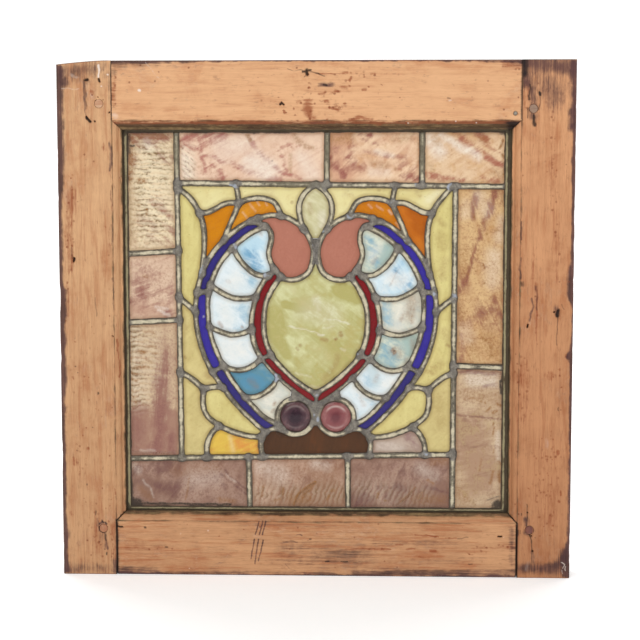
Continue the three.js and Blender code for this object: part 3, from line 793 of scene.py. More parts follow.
def make_back_lead():
    bm = cut_sheet(PANEL_BOX, BACK_PITCH, lambda x, z: lead_edge(panel_gaps(x, z)))
    thicken(bm, BACK_UNDERSIDE, BACK_LIP)
    outer = [v for v in bm.verts if v.co.y > at_depth((BACK_UNDERSIDE + BACK_LIP) / 2)]
    x, _, z = places(outer)
    gaps = panel_gaps(x, z)
    share = np.clip(-lead_edge(gaps) / (CAME_WIDTH / 2), 0, 1)
    crown = crown_height(share)
    for vert, up, dent in zip(outer, crown * (CAME_BACK - BACK_LIP), uneven(x, z, 6, 4.4) * 0.1):
        vert.co.y += up * (1 + dent)
    solder = rise(-gaps["joint"], -1.6, 0.6)
    write_marks(bm, outer, {"crown": share * 0.8, "solder": solder})
    print("back lead faces:", len(bm.faces))
    keep_piece("came_backs", bm, LEAD, ["lead_matrix"], sharp=75)


def make_hearts():
    bm = bmesh.new()
    around = ("left", "bottom"), ("right", "bottom"), ("right", "top"), ("left", "top"), ("left", "bottom")
    corners = np.array([(EDGE[side], EDGE[end]) for side, end in around])
    for line in [*CUTLINE, *RINGS, corners]:
        stride = HEART_STRIDE if len(line) > 2 * HEART_STRIDE else 1
        stops = list(line[:-1:stride]) + [line[-1]]
        verts = [bm.verts.new((x, at_depth(CAME_UNDERSIDE), z)) for x, z in stops]
        edges = [bm.edges.new(pair) for pair in zip(verts, verts[1:])]
        moved = bmesh.ops.extrude_edge_only(bm, edges=edges)["geom"]
        far = made_of(bmesh.types.BMVert, moved)
        bmesh.ops.translate(bm, verts=far, vec=(0, BACK_UNDERSIDE - CAME_UNDERSIDE, 0))
    bmesh.ops.recalc_face_normals(bm, faces=bm.faces[:])
    bmesh.ops.solidify(bm, geom=bm.faces[:], thickness=HEART_THICKNESS)
    bmesh.ops.recalc_face_normals(bm, faces=bm.faces[:])
    print("heart faces:", len(bm.faces))
    keep_piece("came_hearts", bm, LEAD, ["lead_matrix"])


make_back_lead()
make_hearts()

# %% [markdown]
# ## Glass
#
# The sheets came from several batches. The border is a wispy opalescent glass, cream with rose
# poured through it, and cut so that its ripples run different ways; their crests carry a painted
# highlight and their valleys painted shade. The field is a pale cathedral yellow. The petals are
# streaky amber, the bands cobalt and ruby, and the shell a white opal with sky blue in it. One recipe
# serves all of them, with its own colours and its own pour for each pane. The mesh adds marks for
# what is in one place only: wisps, rust, scratches, soot and painted highlights.

# %% The glass recipe
SOOT = paint(52, 43, 34)
RUST = paint(150, 98, 40)
THIN_GLASS_AND_HIGHLIGHT = paint(250, 244, 232)
RIPPLE_CREST_HIGHLIGHT = paint(250, 240, 212)
RIPPLE_SHADE = paint(128, 102, 66)
CEMENT_FILM = paint(184, 156, 120)


def glass_finish(name, light, deep, wisp, seed, pour=(0, 40, 9), depth=0.4, blush=0.3, gloss=0.22,
                 ripple=None, grain=0.3, glow=0.12, relief=0.5, rusty=0.0, third=None, sheen=0.4, rim=0.8):
    """pour: the angle of the streaks, and their length and width. ripple: angle, spacing, strength."""
    glass = Finish(name, Transmission_Weight=glow, Specular_IOR_Level=sheen, IOR=1.5)
    light, deep, wisp = paint(*light), paint(*deep), paint(*wisp)
    angle, length, width = pour
    streaks = glass.cloud((1000 / length, 60, 1000 / width), 5, 0.6, 1.1, seed, (0, angle, 0))
    wide = glass.cloud(22, 3, 0.5, 0.6, seed + 3)
    mottle = glass.cloud(95, 4, 0.6, 0.7, seed + 6)
    fine = glass.cloud(420, 3, 0.65, 0.0, seed + 5)
    micro = glass.cloud(1400, 2, 0.7, 0.0, seed + 7)
    flow = streaks * 0.6 + mottle * 0.4
    body = flow * 0.65 + wide * 0.35 + glass.mark("deep") * 0.45
    tone = glass.over(light, deep, body.rise(0.38, 0.40 + depth))
    if third:
        tone = glass.over(tone, paint(*third), (mottle * 0.6 + wide * 0.4).rise(0.48, 0.64) * 0.65)
    specks = (fine * 0.55 + mottle * 0.45).rise(0.5, 0.62) * grain
    tone = glass.over(tone, wisp, specks * 0.35)
    wisps = flow.rise(0.54, 0.72) * blush
    brush = glass.mark("wisp")
    feather = (flow - 0.5) * 2.0 + (fine - 0.5) * 1.0 + (micro - 0.5) * 0.5
    laid = brush * flow.rise(0.36, 0.58, 0.55, 1.1)
    wisps = wisps + (laid + feather * brush.rise(0.0, 0.4) * 0.8).rise(0.04, 1.05)
    tone = glass.over(tone, wisp, wisps.at_most(1.0) * 0.92)
    # Pale marks: thin or scratched glass, partly painted highlights, and on the jewels a painted glint.
    pale = glass.mark("pale") * (flow.rise(0.34, 0.6, 1.15, 0.7) + (micro - 0.5) * 0.5)
    tone = glass.over(tone, THIN_GLASS_AND_HIGHLIGHT, pale.at_most(1.0) * 0.75)
    tone = glass.over(tone, deep, (fine * 0.5 + micro * 0.5).rise(0.44, 0.66) * grain)
    height = flow * 0.5 + fine * 0.3 + micro * 0.1
    if ripple:
        turn, spacing, amount = ripple
        turned = glass.stretched((1000 / spacing, 60, 1000 / spacing), (0, turn, 0))
        up = glass.node("ShaderNodeSeparateXYZ", {}, {"Vector": turned}, output=2)
        row = up + (mottle - 0.5) * 2.0 + (wide - 0.5) * 2.4
        beat = row.maths("FRACT", row)
        line = beat.rise(0.0, 0.3) * beat.rise(0.35, 0.8, 1.0, 0.0)
        lumps = glass.cloud((400 / spacing, 60, 1100 / spacing), 4, 0.65, 0.8, seed + 11, (0, turn, 0))
        within = glass.mark("ripple")
        dashes = (lumps * 0.75 + fine * 0.25).rise(0.45, 0.6) * (0.3 + line * 0.85) * within
        # Painted highlight on the ripple crests, and dashes along the valleys that are partly brown dirt
        # and partly painted shade.
        tone = glass.over(tone, RIPPLE_CREST_HIGHLIGHT, (1 - line) * within * 0.4)
        tone = glass.over(tone, RIPPLE_SHADE, dashes * amount)
        height = height + (beat * 0.25 - dashes * 0.8)
    flecks = (fine * 0.6 + micro * 0.4).rise(0.56, 0.66) * (wide * 0.5 + mottle * 0.5).rise(0.4, 0.6)
    rust = flecks * rusty + glass.mark("rust") * (fine.rise(0.3, 0.6, 0.55, 1.25) + (micro - 0.5))
    tone = glass.over(tone, RUST, rust.at_most(1.0) * 0.8)
    ragged = (fine - 0.5) * 1.8 + (mottle - 0.5) * 1.8
    cement = 1 - (glass.mark("lead_gap") + ragged * rim).rise(0.0, 1.25 * rim)
    film = 1 - (glass.mark("lead_gap") + ragged * 1.4).rise(0.2, 4.5)
    tone = glass.over(tone, CEMENT_FILM, film * 0.6 * rim, "MULTIPLY")
    dirt = glass.mark("dirt") * (1 + (fine - 0.5) * 1.6)
    soot = (cement * 0.85 + dirt.rise(0.1, 0.9)).at_most(1.0)
    tone = glass.over(tone, SOOT, soot * 0.92)
    shine = (gloss + soot * 0.45) + (fine - 0.5) * 0.16
    return glass.finish(tone, shine, height, relief, 0.0006)


# %% [markdown]
# ## What was poured, spilt and scratched
#
# Each stroke is a brush mark on one pane. It says how strong it is in percent and how wide in
# millimetres, and then the X and Z of each point that it runs through, measured from the pane's
# own point, which is given further down. `wisp` is the coloured streak in the glass, `deep` its
# darker body, `pale` a thin or scratched place that is partly a painted highlight, `rust` an ochre
# stain, `dirt` soot against the lead and `ripple` a place where the ripples show. `dots` writes many
# small marks of one size.

# %% The brush
WISP_SPREAD = 1.35
SOFT_RADIUS = 2.5         # a wider brush has soft bristles
STEADY = 0.3              # how much a cut wavers, next to a brush


def dots(percent, radius, *places):
    return [(percent, radius, x, z) for x, z in zip(places[::2], places[1::2])]


def stroke_gap(x, z, points):
    """Distance to a line that runs through points, given as x, z, x, z and so on."""
    ends = list(zip(points[::2], points[1::2]))
    return np.min([run_gap(x, z, *run) for run in zip(ends, ends[1:] or ends)], axis=0)


def brushed(x, z, strokes, ragged, origin):
    """Each kind of mark at each point, as the strongest stroke over it. `strokes` are by kind."""
    across = 1.4 * ragged + 0.35 * uneven(x, z, 2.6, 44)
    along = 1.4 * uneven(x, z, 8, 51) + 0.35 * uneven(x, z, 2.6, 58)
    marks = {}
    for kind, kind_strokes in strokes.items():
        waver = STEADY if kind == "cut" else 1
        spread = WISP_SPREAD if kind == "wisp" else 1
        kind = "stain" if kind == "cut" else kind
        at_x, at_z = x - origin[0] + waver * across, z - origin[1] + waver * along
        for percent, width, *points in kind_strokes:
            radius = width * spread
            solid, fade = (0, 1.5) if radius > SOFT_RADIUS else (0.2, 1.2)
            covered = 1 - rise(stroke_gap(at_x, at_z, points), solid * radius, fade * radius)
            marks[kind] = np.maximum(marks.get(kind, 0), percent / 100 * covered)
    return marks


# %% Brush marks on the glass
STROKES = {
    "border_left_upper": dict(wisp=[(100, 5, -24, 44, -16, 45), (90, 5, -19, 43, -12, 39),
        (90, 4, -12, 48, 0, 51), (80, 4, 3, 50, 6, 40, 10, 32), (100, 4.5, 10, 32, 17, 28, 23, 27),
        (40, 8, 14, 44, 18, 36), (55, 9, 18, -40, 19, -54), (35, 8, -18, -50, -12, -56),
        (30, 6, 12, -14, 15, -24), (60, 5, -19, 34, -20, 10), (90, 6, -18, 50, -8, 46),
        (50, 4, 18, -24, 21, -50), (40, 6, 0, -50, 14, -58), (100, 8, -20, 46, -4, 48),
        (100, 5, -6, 42, 4, 50, 16, 48), (60, 6, 4, -16, 14, -24), (50, 7, -8, -34, 4, -42)],
        pale=[(50, 5, -3, 44, -1, 38)], rust=[(80, 3.4, -11, 5, -7, 5), (70, 2.2, -4, -23, -4, -27),
        (40, 3, -14, -14, -12, -18), (70, 6, -21, 50, -20, 20, -21, 6), (35, 7, -20, 2, -19, -50),
        (45, 5, -20, 48, 14, 51)], ripple=[(100, 26, 0, 26, 0, -34), (60, 20, 0, -34, 0, -54)],
        dirt=[(60, 4, -22, 53, -21.5, 34), (70, 1.6, -22, 40, -16, 40.5), (60, 3, -22, 54, 22, 54),
        (50, 2, -23, 34, -23, 10), (45, 1.6, -23, -10, -23, -38)]),
    "border_left_middle": dict(wisp=[(75, 8, -12, 2, -10, -8), (50, 10, -4, 0, 6, -8),
        (50, 5, -20, -14, -4, -20, 14, -24), (80, 4, 4, -23, 22, -28), (40, 7, -10, 16, 4, 14),
        (50, 6, 18, 0, 20, -14)], pale=[(70, 2, 6, -24, 18, -28.5), (50, 2, 4, -20, 16, -23)],
        deep=[(50, 12, -16, -22, 14, -28)], ripple=[(70, 14, -18, 10, -18, -22)],
        rust=[(40, 2, -8, 11, -4, 10)]),
    "border_left_lower": dict(wisp=[(60, 5, 15, 42, 11, 26), (85, 7, 10, 24, 7, 10, 7, -8),
        (90, 8, 8, -8, 7, -22, 5, -40, 3, -56), (60, 9, -14, -20, -16, -50), (45, 6, -12, -8, -8, -12),
        (80, 6, 17, -44, 21, -56), (50, 5, -22, -16, -8, -28)], deep=[(90, 14, -12, -20, -12, -56),
        (80, 16, 4, -30, 8, -56), (90, 7, 20, -20, 20, -56)], dirt=[(35, 3, -20, -58, 22, -58),
        (40, 1.6, -23, 20, -23, -4)], pale=[(35, 2, -12, -55.5, 2, -56)], rust=[(90, 3, -11, 44, -8, 44),
        (60, 2, 0, 42.5, 4, 42.5), (60, 1.6, -8, 64, 3, 63), (50, 1.4, -4, 50, 4, 49.5),
        (70, 1.6, -17, 29, -4, 29), (70, 1.8, -24, 24, -16, 22), (60, 1.6, -23, 18, -16, 15),
        (50, 1.6, -6, 37, -1, 34), (50, 2, -20, -2, -16, -8), (60, 2.2, -23, 52, -22, 36)],
        ripple=[(100, 16, -20, 66, -18, 0), (50, 12, -2, 60, -2, 20)]),
    "border_head_left": dict(wisp=[(75, 5, -72, 14, -56, 20, -32, 20), (50, 6, -50, 14, -32, 16),
        (80, 3, -74, 7.5, -66, 10, -57, 7), (70, 2.6, -57, 17, -53, 8, -53, -2, -49, -10, -49, -17),
        (60, 2, -53, 0, -43, -1, -33, -6, -22, -6.5, -10, -12), (70, 3, -44, -9, -36, -15, -32, -22),
        (40, 8, -50, -18, -34, -22), (55, 3.4, -20, -11, -5, -17, 10, -22.5, 25, -24),
        (75, 2.6, -5, 15, 2, 6, 10, -2), (70, 2.6, 10, -2, 18, -9, 26, -17, 36, -19),
        (50, 2, 24, 2, 26, 7, 33, 10, 46, 10), (60, 2.2, 24, 4, 28, -4, 30, -14, 32, -19),
        (50, 2, 40, -20, 48, -24.5)], rust=[(80, 2.6, -8, 20, -5, 15),
        (50, 3, 38, 20, 43, 14, 50, 10, 57, 7), (40, 2.6, 35, 0, 35, -15)], pale=[(90, 13, -2, -6, 12, -14),
        (70, 8, -69, -2, -67, -18), (50, 14, -32, 6, -10, 10), (50, 10, 46, -2, 56, -18)],
        ripple=[(100, 9, -68, 4, -66, -20)], dirt=[(80, 2.6, -60, 24, -48, 23),
        (90, 2.8, -18, 24, 34, 23.6), (70, 1.3, 17.4, -6, 17.6, -6.2)]),
    "border_head_middle": dict(wisp=[(90, 5, -42, -5, -39, -10), (85, 3.4, -38, -10, -31, -19),
        (80, 5, -24, -2, -21, -8), (60, 5, -23, 10, -23, 4), (50, 7, -40, 6, -30, 2),
        (50, 5, -28, -12, -12, -12), (80, 2.6, -16, 22, -4, 20), (50, 2.4, -12, 16, 2, 11),
        (50, 3, -8, 4, 12, 0, 30, -2), (75, 4, 28, -20, 44, -22), (40, 6, 26, -10, 38, -14)],
        rust=[(45, 6, -40, 16, -24, 18), (40, 4, -2, -8, 12, -10), (35, 5, 20, 16, 36, 18),
        (50, 1.6, 21, -13, 22, -13), (50, 2, 44, 12, 44, -6)], pale=[(50, 6, -2, -16, 12, -16),
        (50, 3, 2, 4, 18, 0)], deep=[(50, 16, -38, 10, -34, -18)], dirt=[(60, 2.2, -42, 24, -14, 24)]),
    "border_head_right": dict(pale=[(90, 9, -36, 16, -26, 4), (90, 5, -24, 20, -2, 6, 12, -2)],
        wisp=[(75, 4.4, -8, 20, 2, 11, 10, 4), (80, 4, 13, 21, 20, 15), (80, 3, 20, -2, 30, -7, 38, -10),
        (50, 2, 8, 10, 22, 0), (45, 2, 14, 14, 34, 2), (85, 3.2, -42, -19, -22, -22, -2, -23),
        (50, 3, 16, -23, 32, -25), (35, 3, -30, 4, -8, 0)], rust=[(50, 4, 15, 17, 20, 15),
        (40, 6, 28, -16, 38, -22), (90, 1.6, 36, 14, 34, 7), (90, 2, 36, 0, 38, -2),
        (70, 2, 39, -12, 38, -18), (35, 3, -36, -8, -32, -14), (30, 4, -30, 16, -27, 12)],
        dirt=[(90, 1.7, 39, 5.5, 39.4, 4.5), (90, 5, 40, 23, 36, 24), (60, 2, 42, 16, 41, -22),
        (50, 2.4, -18, 24, 38, 24)]),
    "border_right_upper": dict(wisp=[(80, 3, -5, 88, -7, 78, -9, 66, -10, 58),
        (95, 4, 13, 88, 10, 76, 6, 64), (90, 3.4, 6, 64, 1, 50, -4, 40),
        (90, 2, -4, 40, -7, 28, -10, 18, -13, 5, -16, -3), (75, 4.5, -17, -4, -23, -13),
        (35, 8, -17, -10, -21, 0), (50, 1.6, -9, 36, -11, 20), (50, 2.4, -8, 20, -1, 13, 3, 10),
        (50, 11, 1, -36, 13, -32), (70, 5, -1, -37, 7, -34, 13, -28), (70, 3.4, 12, -22, 15, -34, 21, -42),
        (50, 8, -7, -42, 19, -48), (70, 3.4, -21, -58, -19, -74, -21, -83), (40, 6, -22, -28, -21, -44),
        (40, 7, 19, 84, 17, 66), (50, 4, -23, 68, -23, 52)], rust=[(30, 7, -18, 26, -18, 4),
        (45, 10, 7, -60, 11, -72), (35, 8, -9, -64, -7, -78), (35, 5, -22, -30, -19, -46),
        (90, 1.3, -7, 6, -6.6, 6), (90, 1.5, 1, 12, 3, 9), (80, 1.4, -8, 60, -7.6, 60),
        (80, 1.4, 2, -6, 2.4, -6), (80, 1.5, 4, 43, 4.6, 43), (70, 1.8, 13, 47, 15, 47),
        (80, 2, 1, -61, 3, -62), (70, 2, 9, -68, 11, -72), (70, 1.8, 9, -78, 12, -79),
        (60, 2.4, 17, -83, 22, -84)], pale=[(30, 7, -15, 72, -17, 62), (45, 10, 11, 22, 11, -4),
        (40, 9, -3, 80, 2, 66), (40, 7, 19, 56, 17, 38), (35, 8, -17, -50, -13, -62)],
        dirt=[(70, 1.5, 22, 81, 22, 76), (80, 1.5, 22, 53, 22, 44), (60, 1.4, 22, 34, 22, 22),
        (60, 1.3, 22, -38, 22, -50), (60, 1.6, -23, -86, 19, -87)]),
    "border_right_lower": dict(wisp=[(90, 2.6, -23, 66, -5, 65, 19, 64), (60, 2.4, 3, 51, 13, 52, 21, 50),
        (80, 1.3, -24, 22, -5, 20.5, 21, 18), (50, 3, -15, 18, -3, 13, 3, 10),
        (70, 1.8, 10, -10, 15, -6, 15, -11), (40, 6, -19, -8, 5, -10), (35, 8, -15, -28, 5, -36),
        (28, 12, -15, 6, 11, -18), (25, 12, -13, -44, 11, -48)], pale=[(60, 8, -9, 57, 11, 56),
        (40, 4, 18, 4, 19, -24)], rust=[(80, 1.6, -10, 39, -7, 38), (70, 1.2, -5, 38, 5, 34),
        (80, 2, 6, 26, 9, 30), (80, 2.2, 12, 24, 15, 26), (80, 2.4, 16, 34, 20, 32),
        (35, 10, -15, 44, 15, 38), (90, 2.6, 20, -36, 19, -45), (70, 1.8, 13, -34, 10, -48),
        (60, 1.5, 13, 14, 12, 1), (50, 1.4, 13, -13, 13, -16), (40, 6, -23, -56, -15, -64),
        (50, 1.4, 1, -22, 0, -34), (60, 2, 17, -26, 22, -28)], dirt=[(80, 2, 20, 56, 21, 44),
        (70, 1.6, 22, 65, 21, 56), (100, 6, 23, -68, 16, -69), (90, 2.5, 23, -50, 23, -68),
        (60, 1.6, 7, -64, 19, -60)], deep=[(40, 20, -15, 6, 1, -40)], ripple=[(100, 8, 15, 10, 15, -56)]),
    "border_foot_left": dict(wisp=[(80, 8, -30, -6, -14, -6), (50, 8, -38, 14, -20, 14, -10, 18),
        (40, 6, 32, 4, 40, 0), (45, 5, -56, 10, -40, 16, -20, 20), (35, 5, -6, -8, 20, -12),
        (70, 1.4, 34, 8, 48, -2, 60, -12), (70, 1.4, 38, 12, 50, 2, 60, -8), (50, 1.6, -20, 8, -10, 2)],
        pale=[(35, 4, -53, 16, -49, 12), (40, 1.2, -45, 2, -38, -5, -34, -16), (25, 12, 6, 4, 26, 6),
        (35, 1.1, 40, 8, 50, 0)], rust=[(25, 8, -10, 12, 30, 16), (50, 1.3, 3, 4, 1, -6, -2, -17),
        (50, 3.4, 34, -18, 48, -19), (35, 5, -46, -8, -38, -16)], dirt=[(100, 7, -57, -20, -50, -22),
        (70, 3.4, -57, -2, -57, -18), (75, 2.2, -50, -22, 44, -22.5)], deep=[(25, 12, -46, -2, -20, -12)]),
    "border_foot_middle": dict(pale=[(40, 12, -36, 16, -20, 8), (40, 7, 16, 20, 26, 18)],
        wisp=[(40, 8, -4, -2, 6, 2), (40, 8, 28, 24, 36, 20)],
        rust=[(90, 2.2, -6, -21, -2, -12, 8, -4, 16, 1), (80, 2, 2, -15, 10, -6, 14, 0),
        (50, 6, -8, -16, 8, -16), (80, 2, -17, -5, -17, -11), (60, 2.4, -26, -18, -20, -16),
        (70, 2, 32, -7, 34, -8), (70, 1.8, 28, -16, 30, -13), (50, 1.6, -37, -4, -38, -14)],
        ripple=[(40, 13, -40, -10, 6, -12, 42, -10)], deep=[(40, 12, -4, -16, 40, -12)],
        dirt=[(42, 1.3, -5, -20, -1, -12, 7, -5, 15, 0), (36, 1.2, 3, -14, 10, -6),
        (36, 1.2, -17, -4, -18, -12), (36, 1.2, -26, -19, -21, -15), (34, 1.2, 32, -6, 34, -10)]),
    "border_foot_right": dict(wisp=[(50, 9, -1, 14, 13, 10), (75, 8, -43, -18, -35, -14),
        (50, 8, -21, -8, -1, -4), (70, 1.6, 25, -4, 37, -5, 49, -9), (50, 4, 31, 20, 43, 14)],
        deep=[(70, 10, -45, -16, -33, -20), (40, 14, 5, -16, 43, -14)],
        rust=[(50, 1.8, 1, -19, 8, -12, 15, -4), (60, 2.4, 18, -16, 21, -10), (60, 2, 27, 4, 33, 0),
        (80, 1.6, -15, -17, -14, -17), (60, 1.8, -23, -14, -21, -10), (40, 7, 15, -16, 43, -16),
        (40, 6, 33, 22, 45, 24)], pale=[(30, 8, 21, 16, 33, 8)],
        ripple=[(35, 13, -39, -6, -5, -12, 25, -12)], dirt=[(40, 1.3, 1, -20, 8, -12, 16, -4),
        (36, 1.3, 18, -17, 22, -10), (32, 1.2, -25, -16, -22, -11)]),
    "heart": dict(pale=[(75, 0.9, -26, 0, -10, -3, 4, -7, 9, -8), (90, 1.3, 2, -7, 8, -8),
        (70, 0.9, 12, 8, 24, 6, 34, 3), (60, 1.2, 18, 7, 28, 5), (40, 1.2, 8, -1, 18, 0),
        (55, 6, 0, 26, 4, 18), (35, 14, -8, 16, 14, 12), (50, 1.4, 26, -22, 30, -23),
        (40, 2, -6, -60, 12, -62), (40, 1.4, -20, -46, -4, -50)], rust=[(80, 2.6, 24, -6, 25, -9),
        (90, 1.6, 20, -11, 20.6, -12), (50, 2.4, 6, -12, 12, -14), (50, 1.8, -15, -18, -15, -19),
        (50, 2, -18, -22, -17, -23), (30, 4, 22, -30, 16, -44, 10, -52), (40, 1.6, 47, -16, 49, -22)],
        deep=[(80, 8, -42, 12, -38, -4), (70, 8, 24, 38, 40, 30), (60, 4, -30, 22, -12, 18),
        (70, 5, 20, -18, 30, -36, 22, -46), (50, 6, -40, -10, -30, -28)], wisp=[(35, 6, -30, 42, -22, 36),
        (30, 7, 4, -22, 12, -34)]),
    "shell_1_left": dict(wisp=[(80, 7, -8, -3, -2, -13)], deep=[(60, 7, -14, 1, -4, 9)],
        rust=[(30, 2, 3, 19, 5, 17)]),
    "shell_2_left": dict(wisp=[(50, 6, 10, 12, 16, -4), (40, 4, 4, 16, 10, 2)],
        pale=[(60, 10, -6, -10, 2, -2)], rust=[(20, 2.4, -8, -4, -6, -6)]),
    "shell_3_left": dict(pale=[(60, 9, -7, 6, -3, -6)], rust=[(50, 2.4, -12, -8, -9, -12),
        (70, 1.4, 11, -12, 11.4, -12.6)], wisp=[(50, 8, 13, 6, 15, -6), (40, 6, 1, -14, 9, -16)]),
    "shell_4_left": dict(pale=[(90, 14, -10, 3, 4, 1)], wisp=[(30, 4, 8, 7, 14, 3)]),
    "shell_5_left": dict(deep=[(100, 14, -14, 5, 2, -5)], wisp=[(100, 16, -16, 7, 4, -7)],
        rust=[(30, 4, -4, 1, 2, -5)], dirt=[(40, 3, -24, 7, -20, 3)]),
    "shell_6_left": dict(pale=[(70, 10, -3, 4, 5, 8)], rust=[(60, 2, 3, 0, 4, 2), (40, 2.4, 1, -8, 3, -6)],
        deep=[(30, 6, -13, 0, -9, -4)]),
    "shell_1_right": dict(pale=[(70, 7, 4, 3, -2, -5)], wisp=[(60, 6, -6, 11, 2, -15)],
        deep=[(40, 6, 16, 5, 12, -7)], rust=[(30, 3, 2, -7, -2, -11)]),
    "shell_2_right": dict(wisp=[(40, 4, 6, 16, -6, -4), (40, 7, 18, -2, 12, -10)],
        rust=[(30, 1.6, 2, 6, -6, -8), (18, 9, -2, 2, 6, -4)], pale=[(60, 7, -10, -10, 0, -4)],
        deep=[(30, 6, 12, 10, 4, 14)]),
    "shell_3_right": dict(wisp=[(80, 6, -15, 10, -15, -6)], rust=[(50, 8, 11, 14, 9, 0),
        (60, 3, 13, 6, 11, -6), (40, 3, 3, 0, 1, -4)], pale=[(60, 7, -1, 8, -3, -12),
        (50, 4, 13, -8, 15, -10)]),
    "shell_4_right": dict(rust=[(40, 7, 0, 1, 3, -2), (40, 3.4, 0, 0, 1, -1), (95, 3.6, -2.5, 2, -1.5, 0),
        (40, 4, 16, 11, 18, 3), (40, 3, 10, -7, 10, -11)], dirt=[(60, 1.5, -2, 1.4, -1.7, 1)],
        wisp=[(50, 12, -10, 7, -4, -5)], deep=[(50, 7, 14, 11, 16, 1)]),
    "shell_5_right": dict(deep=[(60, 6, -6, 11, -2, 1)], pale=[(70, 7, 8, -3, 14, 1)],
        rust=[(40, 2.6, 10, 11, 14, 9), (30, 2.6, 0, 7, -2, 1)], wisp=[(40, 5, -12, 5, -8, -1)]),
    "shell_6_right": dict(pale=[(60, 8, -5, 18, 5, 8)], wisp=[(60, 5, 9, 8, 13, 4), (30, 4, -3, 10, 1, 6)],
        rust=[(25, 3, 1, 6, 3, 0)]),
    "petal_left": dict(pale=[(50, 1.2, 0, 7, 2, 2), (45, 1.2, -8, 3, -2, -5), (50, 1.1, 8, 5, 10, 2),
        (40, 1.3, -14, -5, -8, -13)]),
    "petal_right": dict(pale=[(50, 1.2, -6, 3, -2, -1), (60, 1.5, 14, -3, 18, -7), (40, 1.2, 2, 3, 8, -3),
        (40, 1.2, 22, -15, 26, -21)]),
    "horn_right": dict(deep=[(70, 12, 0, 14, 4, -2)], wisp=[(50, 6, 6, -22, 6, -34)]),
    "foot_left": dict(wisp=[(70, 9, 6, 2, 22, -4), (60, 2.6, -2, 10, 18, 1)],
        pale=[(30, 2.6, -6, 10, -4, -6)]),
    "foot_right": dict(pale=[(40, 7, -14, 0, 4, -4)], wisp=[(40, 6, 12, 12, 20, 0)]),
    "base": dict(dirt=[(60, 5, -36, 12, -30, 10)], wisp=[(70, 9, 0, 8, 0, -4), (40, 8, 30, 0, 44, -4)]),
    "drop": dict(pale=[(60, 5, 6, -3, 8, -13)], rust=[(30, 3, -6, 7, -4, -1)],
        wisp=[(40, 3, 0, -15, 2, -21)], dirt=[(50, 1.4, 6, -21, 7, -22)]),
    "field_head_left": dict(rust=[(50, 2, 6, -1, 6, -2), (20, 5, -20, 11, -14, 9)]),
    "field_head_right": dict(rust=[(40, 1.6, 32, 11, 33, 11), (25, 4, 0, 7, 6, 5)]),
    "field_corner_right": dict(rust=[(30, 3, -5, 4, -1, 0)], pale=[(40, 6, 7, -4, 17, 4)]),
    "field_lens_right": dict(rust=[(30, 6, -1, 10, 1, 0), (35, 5, 3, -14, 1, -30), (30, 4, -3, 26, 1, 22)]),
    "field_side_right": dict(rust=[(60, 2.4, 4, -2, 7, -4), (30, 5, 2, 11, 4, 3),
        (40, 3, -14, -29, -8, -31), (30, 6, -2, -21, -8, -27)]),
    "field_side_left": dict(rust=[(60, 1.8, -5, -15, -4, -16), (30, 4, 16, -33, 20, -37),
        (30, 2, -3, 15, -3, 13)]),
    "field_low_right": dict(rust=[(20, 8, 0, 20, 2, -10), (40, 2, -12, 30, -12, 28)]),
    "cobalt_middle_left": dict(pale=[(70, 0.9, 2.7, -5, 3.1, -6)]),
}
print("panes with brush marks:", len(STROKES))

# %% [markdown]
# ## Sorting the panes
#
# The panel is laid over a fine lattice, as a cutter lays the paper cutline over a light table. From
# one point inside each pane, the pane's own squares are found by spreading outwards until lead is
# met. The pane is then cut as its own sheet, and its edge slides home between the hearts.

